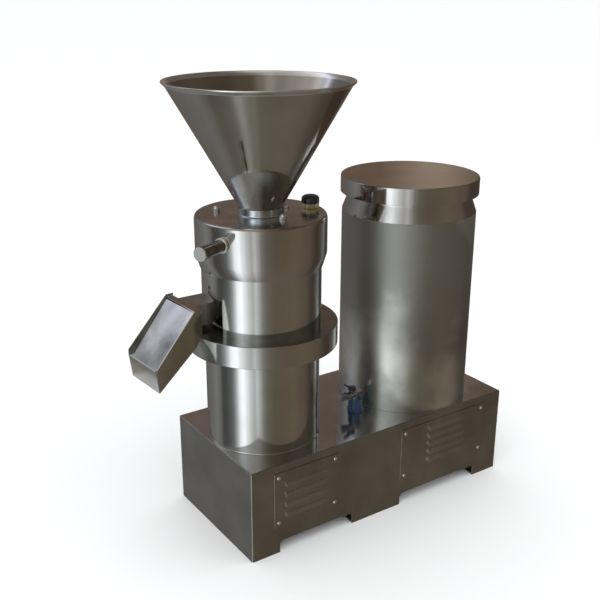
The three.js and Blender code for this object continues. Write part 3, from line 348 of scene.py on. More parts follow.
FINISHES: dict[str, MetalFinish | CoatFinish] = {
    "polished": MetalFinish(
        "polished_steel", (0.67, 0.67, 0.65), (0.53, 0.515, 0.48), (0.07, 0.17), TURNED_GRAIN, 0.06,
        wave_depth=0.0005,
    ),
    "mirror": MetalFinish(
        "mirror_steel", (0.65, 0.63, 0.62), (0.53, 0.505, 0.49), (0.05, 0.12), TURNED_GRAIN,
        wave_depth=0.0004,
    ),
    "hopper": MetalFinish(
        "hopper_steel", (0.64, 0.63, 0.58), (0.50, 0.485, 0.44), (0.06, 0.14), BROAD_GRAIN,
        wave_depth=0.0012,
    ),
    # Motor cover wall: painted shade, the tone darker towards the top.
    "rolled": MetalFinish(
        "rolled_sheet_shaded_top", (0.92, 0.915, 0.87), (0.40, 0.395, 0.365), (0.285, 0.31), TURNED_GRAIN,
        wave_depth=0.0012, haze=(0.30, 0.55, 0.22), painted_light_by_height=(0.28, 0.46, -0.22),
    ),
    "chute": MetalFinish(
        "chute_steel", (0.62, 0.62, 0.58), (0.42, 0.42, 0.38), (0.09, 0.18), SOFT_GRAIN, cloud=14,
        wave_depth=0.0018,
    ),
    # Chute lid: bright and dim cloud patches as painted reflections, brightening towards the top as a
    # painted highlight.
    "lid": MetalFinish(
        "polished_lid_painted_reflection", (0.99, 0.99, 0.99), (0.19, 0.185, 0.205), (0.06, 0.13), SOFT_GRAIN, cloud=14,
        wave_depth=0.0018, painted_light_by_height=(0.43, 0.50, 0.30),
    ),
    # Rougher, with a darker tone that is painted shade: the flange's top and the chute's inside faces near
    # its lid.
    "shaded_ledge": MetalFinish(
        "dull_shaded_ledge", (0.40, 0.42, 0.40), (0.24, 0.25, 0.24), (0.12, 0.22), FINE_GRAIN, cloud=14
    ),
    "plate": MetalFinish(
        "cover_plate", (0.68, 0.71, 0.73), (0.40, 0.42, 0.43), (0.10, 0.24), FINE_GRAIN, cloud=16,
        wave_depth=0.0008,
    ),
    # Handle bars: a darker tone as painted shade.
    "bar": MetalFinish(
        "turned_bar_painted_shade", (0.46, 0.45, 0.42), (0.17, 0.165, 0.15), (0.12, 0.22), FINE_GRAIN, cloud=40
    ),
    # A rougher, lighter brushed finish for the chute's inside; on the handle ends it is a painted
    # highlight.
    "inside": MetalFinish(
        "brushed_inside_and_highlight", (0.92, 0.91, 0.86), (0.78, 0.77, 0.72), (0.42, 0.55), SOFT_GRAIN
    ),
    "welded": MetalFinish("welded_neck", (0.50, 0.48, 0.44), (0.34, 0.32, 0.29), (0.38, 0.5), SOFT_GRAIN),
    # Deck: polished, and painted lighter than the satin sides as light falling on the top.
    "deck": MetalFinish(
        "polished_deck_painted_light", (0.70, 0.72, 0.74), (0.50, 0.51, 0.51), (0.07, 0.17), SHEET_GRAIN,
        wave_depth=0.0009,
    ),
    "sheet": MetalFinish(
        "satin_sheet", (0.47, 0.46, 0.43), (0.31, 0.30, 0.275), (0.18, 0.30), SHEET_GRAIN, 0.08,
        wave_depth=0.0008,
    ),
    "machined": MetalFinish(
        "machined_steel", (0.55, 0.55, 0.54), (0.44, 0.44, 0.42), (0.20, 0.32), TURNED_GRAIN, 0.2
    ),
    # Bright grinding finish of screws, nuts and bearings, its tone raised as a painted highlight; the
    # hopper rim and the chute lid's ring take it only as a painted highlight.
    "ground_and_highlight": MetalFinish("ground_steel_and_highlight", (0.94, 0.94, 0.92), (0.82, 0.82, 0.79), (0.16, 0.26), FINE_GRAIN),
    # Brass colour with strong cloud contrast, whose bright patches are painted highlights.
    "brass": MetalFinish(
        "brass", (0.92, 0.80, 0.50), (0.42, 0.33, 0.11), (0.16, 0.28), MILLED_GRAIN, cloud=45
    ),
    "winding": MetalFinish(
        "winding_copper", (0.62, 0.30, 0.14), (0.45, 0.20, 0.09), (0.25, 0.4), WOUND_GRAIN, 0.6, 0.0003
    ),
    # Valve body: a deep tone with bright cloud patches that stand as painted highlights.
    "dark_with_highlights": MetalFinish(
        "dark_steel_painted_highlights", (0.90, 0.94, 0.99), (0.05, 0.055, 0.06), (0.26, 0.38), TURNED_GRAIN, 0.12,
        cloud=38,
    ),
    "cast": CoatFinish(
        "painted_iron", (0.22, 0.25, 0.27), (0.17, 0.19, 0.21), (0.4, 0.55), coat=0.1, texture=220,
        texture_depth=0.0001,
    ),
    "black": CoatFinish(
        "black_plastic", (0.014, 0.014, 0.016), (0.010, 0.010, 0.011), (0.22, 0.34), coat=0.3
    ),
    "blue": CoatFinish("blue_paint", (0.028, 0.06, 0.11), (0.014, 0.034, 0.068), (0.25, 0.4), coat=0.5),
    "rubber": CoatFinish("rubber", (0.018, 0.018, 0.017), (0.012, 0.012, 0.011), (0.6, 0.75)),
}


class Palette:
    """Builds each finish once and hands it out."""

    def __init__(self) -> None:
        """Starts with no material made."""
        self.made: dict[str, bpy.types.Material] = {}

    def material(self, finish: str) -> bpy.types.Material:
        """Returns the material of a finish.

        Args:
            finish: The finish's key.

        Returns:
            The material.
        """
        if finish not in self.made:
            self.made[finish] = FINISHES[finish].build()
        return self.made[finish]


PALETTE = Palette()


def new_object(name: str, shape: Shape) -> Piece:
    """Turns a bmesh into an object at the origin.

    Args:
        name: The object's name.
        shape: The bmesh, which is freed.

    Returns:
        The object.
    """
    mesh = bpy.data.meshes.new(name)
    shape.to_mesh(mesh)
    shape.free()
    made = bpy.data.objects.new(name, mesh)
    bpy.context.scene.collection.objects.link(made)
    return made


def bevelled(shape: Shape, edges: list[bmesh.types.BMEdge], width: float, segments: int) -> None:
    """Rounds some edges of a shape.

    Args:
        shape: The bmesh.
        edges: The edges.
        width: The rounding in millimetres.
        segments: How many faces a rounding has.
    """
    bmesh.ops.bevel(
        shape, geom=edges, offset=width * MM, offset_type="OFFSET", segments=segments, profile=0.5,
        affect="EDGES", material=-1, clamp_overlap=True,
    )


def soften(shape: Shape, width: float, segments: int = 3) -> None:
    """Rounds a shape's sharp edges by a width in millimetres."""
    sharp = [edge for edge in shape.edges if edge.is_manifold and edge.calc_face_angle(0) > SHARP_ANGLE]
    bevelled(shape, sharp, width, segments)


def cleaned(shape: Shape) -> Shape:
    """Merges doubles, drops slivers and turns faces outwards.

    Args:
        shape: The bmesh.

    Returns:
        The same bmesh.
    """
    bmesh.ops.remove_doubles(shape, verts=shape.verts, dist=MERGE_DISTANCE)
    bmesh.ops.dissolve_degenerate(shape, edges=shape.edges, dist=MERGE_DISTANCE)
    bmesh.ops.recalc_face_normals(shape, faces=shape.faces)
    return shape


def spun(profile: list[Pair], x: float = 0, y: float = 0, sides: int = FINE_SIDES) -> Shape:
    """Turns a profile about an upright axis.

    Args:
        profile: Radius and height of each corner, in millimetres.
        x: The axis's place along X.
        y: The axis's place along Y.
        sides: How many steps the round has.

    Returns:
        The closed bmesh.
    """
    shape = bmesh.new()
    corners = [shape.verts.new(((x + radius) * MM, y * MM, height * MM)) for radius, height in profile]
    loop = corners if profile[0][0] == 0 else corners + corners[:1]
    for start, end in zip(loop, loop[1:]):
        shape.edges.new((start, end))
    bmesh.ops.spin(
        shape, geom=shape.verts[:] + shape.edges[:], cent=(x * MM, y * MM, 0), axis=(0, 0, 1),
        angle=FULL_TURN, steps=sides, use_merge=True,
    )
    return cleaned(shape)


def moved(outline: Outline, out: float, up: float) -> list[Pair]:
    """Moves a turned outline away from its axis and up, in millimetres."""
    return [(radius + out, level + up) for radius, level in outline]


def rod(radius: float, low: float, high: float) -> list[Pair]:
    """Returns the profile of a plain round between two levels."""
    return [(0, low), (radius, low), (radius, high), (0, high)]


def rounding(radius: float, top: float, width: float, height: float, steps: int) -> list[Pair]:
    """Rounds the outer top corner of a profile with a quarter of an ellipse.

    Args:
        radius: The outer radius.
        top: The top level.
        width: How far the rounding reaches inwards.
        height: How far it reaches down.
        steps: How many faces it has.

    Returns:
        The corners from the wall up to the top.
    """
    turns = [math.pi / 2 * step / steps for step in range(steps + 1)]
    return [(radius - width * (1 - math.cos(turn)), top - height * (1 - math.sin(turn))) for turn in turns]


def laid(shape: Shape, place: Place, angle: float) -> Shape:
    """Lays an upright round at the origin level, so that its top leaves a place at an angle.

    Args:
        shape: The bmesh, upright about the Z axis.
        place: Where its origin goes, in millimetres.
        angle: The direction of its top, in degrees from +X.

    Returns:
        The same bmesh.
    """
    tilt = Matrix.Rotation(math.pi / 2, 4, "Y")
    turn = Matrix.Rotation(math.radians(angle), 4, "Z")
    move = Matrix.Translation(Vector(place) * MM)
    bmesh.ops.transform(shape, matrix=move @ turn @ tilt, verts=shape.verts)
    return shape


def boxed(low: Place, high: Place) -> Shape:
    """Makes a box between two corners.

    Args:
        low: The lowest corner in millimetres.
        high: The highest corner in millimetres.

    Returns:
        The bmesh.
    """
    shape = bmesh.new()
    bmesh.ops.create_cube(shape, size=1)
    first, last = Vector(low) * MM, Vector(high) * MM
    bmesh.ops.scale(shape, vec=last - first, verts=shape.verts)
    bmesh.ops.translate(shape, vec=(first + last) / 2, verts=shape.verts)
    return shape


def drawn(outline: list[Pair], low: float, high: float) -> Shape:
    """Draws an outline in the X-Z plane out along Y.

    Args:
        outline: The corners in millimetres.
        low: Where it starts along Y.
        high: Where it ends along Y.

    Returns:
        The bmesh.
    """
    shape = bmesh.new()
    corners = [shape.verts.new((x * MM, low * MM, z * MM)) for x, z in outline]
    face = shape.faces.new(corners)
    grown = bmesh.ops.extrude_face_region(shape, geom=[face])
    far = [item for item in grown["geom"] if isinstance(item, bmesh.types.BMVert)]
    bmesh.ops.translate(shape, vec=(0, (high - low) * MM, 0), verts=far)
    bmesh.ops.recalc_face_normals(shape, faces=shape.faces)
    return shape


def hexed(x: float, y: float, radius: float, low: float, high: float) -> Shape:
    """Makes an upright hexagon bar.

    Args:
        x: The axis's place along X.
        y: The axis's place along Y.
        radius: The radius over the corners.
        low: The lower face's height.
        high: The upper face's height.

    Returns:
        The bmesh.
    """
    shape = bmesh.new()
    bmesh.ops.create_cone(
        shape, cap_ends=True, segments=HEX_SIDES, radius1=radius * MM, radius2=radius * MM,
        depth=(high - low) * MM,
    )
    bmesh.ops.translate(shape, vec=Vector((x, y, (low + high) / 2)) * MM, verts=shape.verts)
    return shape


def copied(node: Piece) -> Shape:
    """Copies an object's mesh, merged and with whole flat faces.

    Args:
        node: The object, such as a CAD node.

    Returns:
        The bmesh.
    """
    shape = bmesh.new()
    shape.from_mesh(node.data)
    bmesh.ops.remove_doubles(shape, verts=shape.verts, dist=MERGE_DISTANCE)
    bmesh.ops.dissolve_limit(shape, angle_limit=FLAT_ANGLE, verts=shape.verts, edges=shape.edges)
    return shape


def settle(target: Piece) -> None:
    """Makes an object's modifiers part of its mesh.

    Args:
        target: The object.
    """
    graph = bpy.context.evaluated_depsgraph_get()
    mesh = bpy.data.meshes.new_from_object(target.evaluated_get(graph))
    target.modifiers.clear()
    target.data = mesh


def combined(target: Piece, other: Piece, operation: Operation) -> Piece:
    """Cuts one object with another, or welds them, and drops the other.

    Args:
        target: The object that stays.
        other: The cutter or the added piece.
        operation: What the other does to the target.

    Returns:
        The target with its new mesh.
    """
    step = target.modifiers.new("combine", "BOOLEAN")
    step.operation = operation.value
    step.solver = "EXACT"
    step.object = other
    settle(target)
    bpy.data.objects.remove(other)
    return target


def rounded(target: Piece, width: float, segments: int = 3) -> Piece:
    """Rounds the sharp edges of a finished object.

    Args:
        target: The object.
        width: The rounding in millimetres.
        segments: How many faces a rounding has.

    Returns:
        The object.
    """
    shape = copied(target)
    soften(shape, width, segments)
    shape.to_mesh(target.data)
    shape.free()
    return target


def joined(whole: Shape, added: Shape) -> Shape:
    """Puts two shapes in one bmesh.

    Args:
        whole: The shape that stays.
        added: The other shape, which is freed.

    Returns:
        The first shape with the other added.
    """
    carrier = bpy.data.meshes.new("carrier")
    added.to_mesh(carrier)
    added.free()
    whole.from_mesh(carrier)
    bpy.data.meshes.remove(carrier)
    return whole


def dress(piece: Piece, finish: str, slot: Slot, body: str, *nodes: str) -> Piece:
    """Shades a piece, sets it on its CAD body and lets it stand for CAD nodes.

    Args:
        piece: The piece.
        finish: The key of its finish.
        slot: The record's material slot; not used.
        body: The CAD body it rides on.
        nodes: The CAD nodes that it replaces.

    Returns:
        The piece.
    """
    piece.data.materials.clear()
    piece.data.materials.append(PALETTE.material(finish))
    piece.data.polygons.foreach_set("use_smooth", [True] * len(piece.data.polygons))
    shading = piece.modifiers.new("shading", "WEIGHTED_NORMAL")
    shading.keep_sharp = False
    shading.weight = SHADING_WEIGHT
    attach(piece, body)
    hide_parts(*nodes)
    LOG.info("%s: %d faces on %s", piece.name, len(piece.data.polygons), body)
    return piece


def patch(piece: Piece, finishes: tuple[str, ...], choose: Callable[[Face], str]) -> None:
    """Gives some faces of a dressed piece another finish.

    Args:
        piece: The piece.
        finishes: The keys of its finishes, with the one it's dressed in first.
        choose: Tells the key of a face's finish.
    """
    for finish in finishes[1:]:
        piece.data.materials.append(PALETTE.material(finish))
    for face in piece.data.polygons:
        face.material_index = finishes.index(choose(face))


def looks_up(face: Face, level: float) -> bool:
    """Tells whether a face looks up and lies above a level in millimetres."""
    return face.center.z > level * MM and face.normal.z > FACING_UP


def head_reach(face: Face) -> float:
    """Returns how far a face lies from the head's axis, in millimetres."""
    return math.hypot(face.center.x - HEAD_X * MM, face.center.y) / MM


@dataclass(frozen=True)
class Lathe:
    """The axis, the edges and the round's steps of a piece that is turned on a lathe."""

    x: float
    edge: float
    segments: int = 3
    sides: int = FINE_SIDES

    def turn(self, name: str, profile: list[Pair], finish: str, body: str, node: str) -> Piece:
        """Turns a piece of polished steel, rounds its edges and dresses it.

        Args:
            name: The piece's name.
            profile: Radius and height of each corner, in millimetres.
            finish: The key of its finish.
            body: The CAD body it rides on.
            node: The CAD node that it replaces.

        Returns:
            The piece.
        """
        shape = spun(profile, self.x, sides=self.sides)
        soften(shape, self.edge, self.segments)
        return dress(new_object(name, shape), finish, Slot.POLISHED, body, node)


@dataclass
class BaseFrame:
    """The sheet steel base with its louvred panels and screws."""

    nodes: dict[str, Piece]
    low: Place = (-270.175, -152.5, 0)
    high: Place = (409.825, 152.5, DECK_Z)
    sheet: float = 3
    fold: float = 3.2
    fold_segments: int = 5
    foot_return: float = 25
    return_cut: float = 10
    notches: tuple[Pair, ...] = ((-204.175, -19.175), (112.825, 337.825))
    notch_height: float = 27
    notch_bevel: float = 7
    notch_reach: float = 200
    windows: tuple[Pair, ...] = ((-201.175, -73.175), (127.825, 343.825))
    window_levels: Pair = (77, 169)
    window_depth: float = 8
    holes: tuple[Pair, ...] = ((HEAD_X, 44), (MOTOR_X, 90.3))
    hole_levels: Pair = (190, 210)
    deck_slack: float = 1
    screw_columns: tuple[float, ...] = (-206.675, -67.675, 122.325, 349.325)
    screw_levels: Pair = (71.5, 174.5)
    screw_outline: Outline = (
        (0, 3.0), (1.6, 2.95), (3.2, 2.5), (4.4, 1.6), (5.0, 0.0), (2.4, 0.0), (2.4, -9), (0, -9),
    )
    screw_direction: float = -90
    panel_face: float = -154
    shell_edge: float = 0.35
    panel_edge: float = 0.45
    gland_edge: float = 0.6

    def build(self) -> None:
        """Builds the shell, the panels, the screws and the gland."""
        self.shell()
        self.panels()
        self.screws()
        gland = new_object("cable_gland_body", copied(self.nodes["cable_gland"]))
        dress(rounded(gland, self.gland_edge), "black", Slot.BLACK, "base", "cable_gland")

    def shell(self) -> None:
        """Folds the shell: a box open underneath with rounded folds, notches, windows and holes."""
        shape = boxed(self.low, self.high)
        bottom = [face for face in shape.faces if face.normal.z < -FACING_UP]
        bmesh.ops.delete(shape, geom=bottom, context="FACES")
        folds = [edge for edge in shape.edges if not edge.is_boundary]
        bevelled(shape, folds, self.fold, self.fold_segments)
        shell = new_object("base_shell_folded", shape)
        wall = shell.modifiers.new("wall", "SOLIDIFY")
        wall.thickness = self.sheet * MM
        wall.offset = -1
        wall.use_even_offset = True
        settle(shell)
        combined(shell, self.returns(), Operation.WELD)
        top, side = self.notch_height, self.notch_height - self.notch_bevel
        for start, end in self.notches:
            outline = [
                (start, -OVERCUT), (end, -OVERCUT), (end, side), (end - self.notch_bevel, top),
                (start + self.notch_bevel, top), (start, side),
            ]
            notch = drawn(outline, -self.notch_reach, self.notch_reach)
            combined(shell, new_object("notch", notch), Operation.CUT)
        front = self.low[1]
        sill, lintel = self.window_levels
        for start, end in self.windows:
            window = boxed((start, front - OVERCUT, sill), (end, front + self.window_depth, lintel))
            combined(shell, new_object("window", window), Operation.CUT)
        for x, radius in self.holes:
            hole = spun(rod(radius, *self.hole_levels), x)
            combined(shell, new_object("hole", hole), Operation.CUT)
        dress(rounded(shell, self.shell_edge, 2), "sheet", Slot.SHEET, "base", "base_shell")
        deck = self.high[2] - self.deck_slack
        # Upward faces take the polished deck finish, painted lighter than the sides as light on the top.
        patch(shell, ("sheet", "deck"), lambda face: "deck" if looks_up(face, deck) else "sheet")
        # Some corners end a hair below the floor, where the feet rest
        for corner in shell.data.vertices:
            corner.co.z = max(corner.co.z, 0)

    def returns(self) -> Piece:
        """Makes the inward returns under the feet as one flat ring."""
        inset = self.sheet / 2
        low = (self.low[0] + inset, self.low[1] + inset, 0)
        high = (self.high[0] - inset, self.high[1] - inset, self.sheet)
        ring = new_object("returns", boxed(low, high))
        opening = boxed(
            (self.low[0] + self.foot_return, self.low[1] + self.foot_return, -OVERCUT),
            (self.high[0] - self.foot_return, self.high[1] - self.foot_return, self.return_cut),
        )
        return combined(ring, new_object("opening", opening), Operation.CUT)

    def panels(self) -> None:
        """Dresses the two louvred panels."""
        for name in ("front_panel_left", "front_panel_right"):
            panel = new_object(f"{name}_pressed", copied(self.nodes[name]))
            dress(rounded(panel, self.panel_edge, 2), "sheet", Slot.SHEET, "base", name)

    def screws(self) -> None:
        """Turns the pan head screws of the panels."""
        places = [(x, self.panel_face, z) for x in self.screw_columns for z in self.screw_levels]
        for count, place in enumerate(places, 1):
            upright = spun(list(self.screw_outline), sides=SCREW_SIDES)
            screw = laid(upright, place, self.screw_direction)
            node = f"panel_screw_{count}"
            dress(new_object(f"{node}_turned", screw), "ground_and_highlight", Slot.MACHINED, "base", node)


@dataclass
class GrindingHead:
    """The fixed stack of the head: housing, flange, chamber and chute."""

    nodes: dict[str, Piece]
    housing_radius: float = 117.7
    housing_inside: float = 109.7
    housing_top: float = 406
    housing_roof: float = 26
    tube_radius: float = 64.3
    bearing_radius: float = 50.3
    bearing_depth: float = 25.3
    shaft_radius: float = 44
    weld_bead: Outline = ((1.6, 0), (0.6, 0.9), (0, 2.2))
    flange_radius: float = 154.7
    flange_inside: float = 107.7
    flange_top: float = 451
    flange_web: float = 16
    hub_radius: float = 60
    hub_bore: float = 30
    seal_radius: float = 36.3
    seal_depth: float = 10.3
    ledge_slack: float = 0.5
    chamber_radius: float = 120.7
    chamber_bore: float = 107.7
    chamber_top: float = 632
    chamber_floor: float = 12
    chamber_hole: float = 66
    core_top: float = 700
    neck_reach: float = 162
    neck_root: float = 95
    neck_open_to: float = 40
    neck_width: Pair = (12, 72)
    neck_levels: Pair = (461, 505)
    neck_sheet: float = 3
    neck_slack: float = 1
    chute_edge: float = 0.9
    chute_middle: Place = (HEAD_X - 233.5, 23, 405.5)
    chute_run: Place = (-0.6, 0, -0.8)
    lid_point: Place = (-369.5, 13.2, 447.5)
    lid_normal: Place = (-0.753, -0.053, 0.656)
    lid_flatness: float = 0.99
    lid_tilt: float = 0.3
    lid_slack: float = 2
    lid_highlight_width: float = 3
    lid_area: float = 4000
    lid_far: float = 55

    def build(self) -> None:
        """Builds every fixed piece of the head."""
        self.housing()
        self.flange()
        self.chamber()
        self.chute()

    def housing(self) -> None:
        """Turns the bearing housing, with its weld bead on the deck."""
        radius, inside, top = self.housing_radius, self.housing_inside, self.housing_top
        tube, seat, shaft = self.tube_radius, self.bearing_radius, self.shaft_radius
        roof, depth = top - self.housing_roof, self.bearing_depth
        profile = [
            (seat, DECK_Z), (tube, DECK_Z), (tube, roof), (inside, roof), (inside, DECK_Z),
            *moved(self.weld_bead, radius, DECK_Z), (radius, top), (seat, top), (seat, top - depth),
            (shaft, top - depth), (shaft, DECK_Z + depth), (seat, DECK_Z + depth),
        ]
        lathe = Lathe(HEAD_X, edge=0.5)
        lathe.turn("bearing_housing_turned", profile, "polished", "base", "bearing_housing")

    def flange(self) -> None:
        """Turns the wide flange under the chamber, rougher on top and painted darker there as shade."""
        radius, low, top = self.flange_radius, self.housing_top, self.flange_top
        hub, inside, bore = self.hub_radius, self.flange_inside, self.hub_bore
        web, seal, step = top - self.flange_web, self.seal_radius, top - self.seal_depth
        profile = [
            (bore, low), (hub, low), (hub, web), (inside, web), (inside, low), (radius, low), (radius, top),
            (seal, top), (seal, step), (bore, step),
        ]
        lathe = Lathe(HEAD_X, edge=1.2)
        flange = lathe.turn("chamber_flange_turned", profile, "polished", "base", "chamber_flange")
        # The flange's top faces take a rougher finish whose darker tone is painted shade.
        shaded_ledge = top - self.ledge_slack
        patch(flange, ("polished", "shaded_ledge"), lambda face: "shaded_ledge" if looks_up(face, shaded_ledge) else "polished")

    def chamber(self) -> None:
        """Turns the grinding chamber and welds its outlet neck on."""
        radius, bore, hole = self.chamber_radius, self.chamber_bore, self.chamber_hole
        low, top = self.flange_top, self.chamber_top
        floor = low + self.chamber_floor
        profile = [(hole, low), (radius, low), (radius, top), (bore, top), (bore, floor), (hole, floor)]
        chamber = new_object("grinding_chamber_turned", spun(profile, HEAD_X))
        (near, far), (under, over) = self.neck_width, self.neck_levels
        neck = boxed((HEAD_X - self.neck_reach, near, under), (HEAD_X - self.neck_root, far, over))
        combined(chamber, new_object("neck", neck), Operation.WELD)
        sheet = self.neck_sheet
        opening = boxed(
            (HEAD_X - self.neck_reach - OVERCUT, near + sheet, under + sheet),
            (HEAD_X - self.neck_open_to, far - sheet, over - sheet),
        )
        combined(chamber, new_object("opening", opening), Operation.CUT)
        core = spun(rod(bore, floor, self.core_top), HEAD_X)
        combined(chamber, new_object("core", core), Operation.CUT)
        rounded(chamber, width=0.6, segments=2)
        dress(chamber, "polished", Slot.POLISHED, "base", "grinding_chamber")
        wall = radius + self.neck_slack
        patch(
            chamber, ("polished", "welded"),
            lambda face: "welded" if head_reach(face) > wall else "polished",
        )

    def chute(self) -> None:
        """Dresses the folded discharge chute, with a narrow ring round its lid that is painted as a
        highlight.
        """
        chute = new_object("discharge_chute_folded", copied(self.nodes["discharge_chute"]))
        rounded(chute, self.chute_edge)
        lid_point, upward = Vector(self.lid_point) * MM, Vector(self.lid_normal)
        shape = bmesh.new()
        shape.from_mesh(chute.data)
        shape.normal_update()
        lid = [
            face for face in shape.faces
            if face.normal.dot(upward) > self.lid_flatness
            and abs((face.calc_center_median() - lid_point).dot(upward)) < MM
        ]
        # The narrow ring round the lid is painted as a highlight.
        bmesh.ops.inset_region(shape, faces=lid, thickness=self.lid_highlight_width * MM, use_even_offset=True)
        shape.to_mesh(chute.data)
        shape.free()
        dress(chute, "chute", Slot.POLISHED, "base", "discharge_chute")
        patch(chute, ("chute", "inside", "lid", "ground_and_highlight", "shaded_ledge"), self.chute_finish)

    def chute_finish(self, face: Face) -> str:
        """Tells a face of the chute brushed inside, painted darker as shade on the inside faces near the
        lid, polished with painted reflections on the lid, and painted bright as a highlight on the lid's
        narrow ring.

        Args:
            face: The face.

        Returns:
            The key of its finish.
        """
        upward, axis = Vector(self.lid_normal), Vector(self.chute_run).normalized()
        away = face.center - Vector(self.chute_middle) * MM
        away -= axis * away.dot(axis)
        height = (face.center - Vector(self.lid_point) * MM).dot(upward) / MM
        if away.dot(face.normal) < 0:
            # Inside faces near the lid take a darker tone as painted shade.
            return "inside" if height < -self.lid_slack else "shaded_ledge"
        if abs(height) < self.lid_slack and face.normal.dot(upward) > self.lid_tilt:
            # Broad faces take the lid's painted reflections; the narrow ring takes a painted highlight.
            broad = face.area > self.lid_area * MM**2 or face.center.y > self.lid_far * MM
            return "lid" if broad else "ground_and_highlight"
        return "chute"


@dataclass
class AdjustingDrum:
    """The drum that turns on the chamber, with its cover, handles, nuts and filler."""

    bottom: float = 571
    top: float = 674.5
    radius: float = 131.3
    bore: float = 121.97
    foot_edge: float = 1.2
    foot_height: float = 27
    shoulder: Pair = (4.9, 9)
    shoulder_steps: int = 6
    seat: float = 126
    seat_depth: float = 10
    ring_radius: float = 103.6
    ring_depth: float = 20.5
    cover_gap: float = 0.3
    collar_bore: float = 39.1
    collar_radius: float = 46
    collar_height: float = 14
    collar_foot: Outline = ((2.5, 0), (0.6, 0.8), (0, 2.6))
    handle_level: float = 640
    handle_angles: Pair = (-155.0, 25.0)
    handle_length: float = 70
    handle_gap: float = 0.3
    stud_radius: float = 6
    stud_depth: float = 8
    handle_foot: Outline = ((14.2, 0), (15, 0.8), (15, 5.2), (14.2, 6), (12.5, 6.4))
    handle_tip: Outline = ((12.5, -8), (13.2, -5), (14, -2.4), (14, -1.2), (12.8, 0))
    highlight_ends: Pair = (6.6, 1)
    nuts: tuple[tuple[str, float, float], ...] = (
        ("cover_nut_left", 88.9, 139.4),
        ("cover_nut_front", 69.0, -83.8),
        ("cover_nut_right", 60.0, 2.0),
    )
    nut_radius: float = 7
    nut_height: float = 6
    nut_dome: Outline = ((0, 5), (5.6, 5), (5.6, 6.2), (5.0, 8.2), (3.7, 9.9), (1.9, 10.8), (0, 11))
    filler: Pair = (-42.12, -20.23)
    filler_radius: float = 18
    filler_height: float = 10
    filler_neck: Outline = ((9, 7), (14.5, 7), (14.5, 14.2), (13.7, 15), (9, 15))
    cap_level: float = 10.3
    cap_outline: Outline = (
        (0, 5), (15.1, 5), (15.1, 0), (17.4, 0), (18.1, 0.7), (18.1, 8), (17.4, 10.8), (15.4, 13.2),
        (12.2, 15), (7, 15.8), (0, 16),
    )

    def build(self) -> None:
        """Builds every piece that rides on the drum."""
        self.drum()
        self.cover()
        self.handles()
        self.cap_nuts()
        self.filler_fitting()

    def drum(self) -> None:
        """Turns the drum with its bevelled foot and rounded shoulder."""
        bottom, top, radius, bore = self.bottom, self.top, self.radius, self.bore
        seat, ring = top - self.seat_depth, top - self.ring_depth
        profile = [
            (bore, bottom), (bore + self.foot_edge, bottom), (radius, bottom + self.foot_height),
            *rounding(radius, top, *self.shoulder, self.shoulder_steps), (self.seat, top),
            (self.seat, seat), (self.ring_radius, seat), (self.ring_radius, ring), (bore, ring),
        ]
        lathe = Lathe(HEAD_X, edge=0.6)
        lathe.turn("adjusting_drum_turned", profile, "mirror", "adjusting_drum", "adjusting_drum")

    def cover(self) -> None:
        """Turns the cover plate with its collar."""
        top, bore = self.top, self.collar_bore
        low, rim, lip = top - self.seat_depth, self.seat - self.cover_gap, top + self.collar_height
        profile = [
            (bore, low), (rim, low), (rim, top), *moved(self.collar_foot, self.collar_radius, top),
            (self.collar_radius, lip), (bore, lip),
        ]
        lathe = Lathe(HEAD_X, edge=0.5)
        lathe.turn("top_cover_turned", profile, "plate", "adjusting_drum", "top_cover")

    def handles(self) -> None:
        """Turns the two bar handles, the bar painted darker as shade and its ends given a rougher, lighter
        finish as a painted highlight.
        """
        foot = self.radius + self.handle_gap
        tip, root = foot + self.handle_length, self.radius - self.stud_depth
        profile = [
            (0, root), (self.stud_radius, root), (self.stud_radius, foot),
            *moved(self.handle_foot, 0, foot), *moved(self.handle_tip, 0, tip), (0, tip),
        ]
        # The handle ends take a lighter finish as a painted highlight, the bar between them a darker one as
        # painted shade.
        first, last = foot + self.highlight_ends[0], tip - self.highlight_ends[1]
        for node, angle in zip(("adjusting_handle_left", "adjusting_handle_right"), self.handle_angles):
            shape = laid(spun(profile, sides=SMALL_SIDES), (HEAD_X, 0, self.handle_level), angle)
            soften(shape, width=0.4, segments=2)
            bar = dress(new_object(f"{node}_bar", shape), "bar", Slot.MACHINED, "adjusting_drum", node)
            patch(
                bar, ("bar", "inside"),
                lambda face: "bar" if first < head_reach(face) < last else "inside",
            )

    def cap_nuts(self) -> None:
        """Makes the domed cap nuts on the cover."""
        top = self.top
        for node, reach, angle in self.nuts:
            x = HEAD_X + reach * math.cos(math.radians(angle))
            y = reach * math.sin(math.radians(angle))
            body = hexed(x, y, self.nut_radius, top, top + self.nut_height)
            soften(body, width=0.5, segments=2)
            dome = spun(moved(self.nut_dome, 0, top), x, y, SMALL_SIDES)
            nut = new_object(f"{node}_domed", joined(body, dome))
            dress(nut, "ground_and_highlight", Slot.MACHINED, "adjusting_drum", node)

    def filler_fitting(self) -> None:
        """Makes the brass filler and its black cap."""
        (x, y), top = self.filler, self.top
        body = hexed(x, y, self.filler_radius, top, top + self.filler_height)
        soften(body, width=0.8)
        neck = spun(moved(self.filler_neck, 0, top), x, y, SMALL_SIDES)
        fitting = new_object("filler_neck_hex", joined(body, neck))
        dress(fitting, "brass", Slot.BRASS, "adjusting_drum", "filler_neck")
        cap = spun(moved(self.cap_outline, 0, top + self.cap_level), x, y, MEDIUM_SIDES)
        dress(new_object("filler_cap_moulded", cap), "black", Slot.BLACK, "filler_cap", "filler_cap")


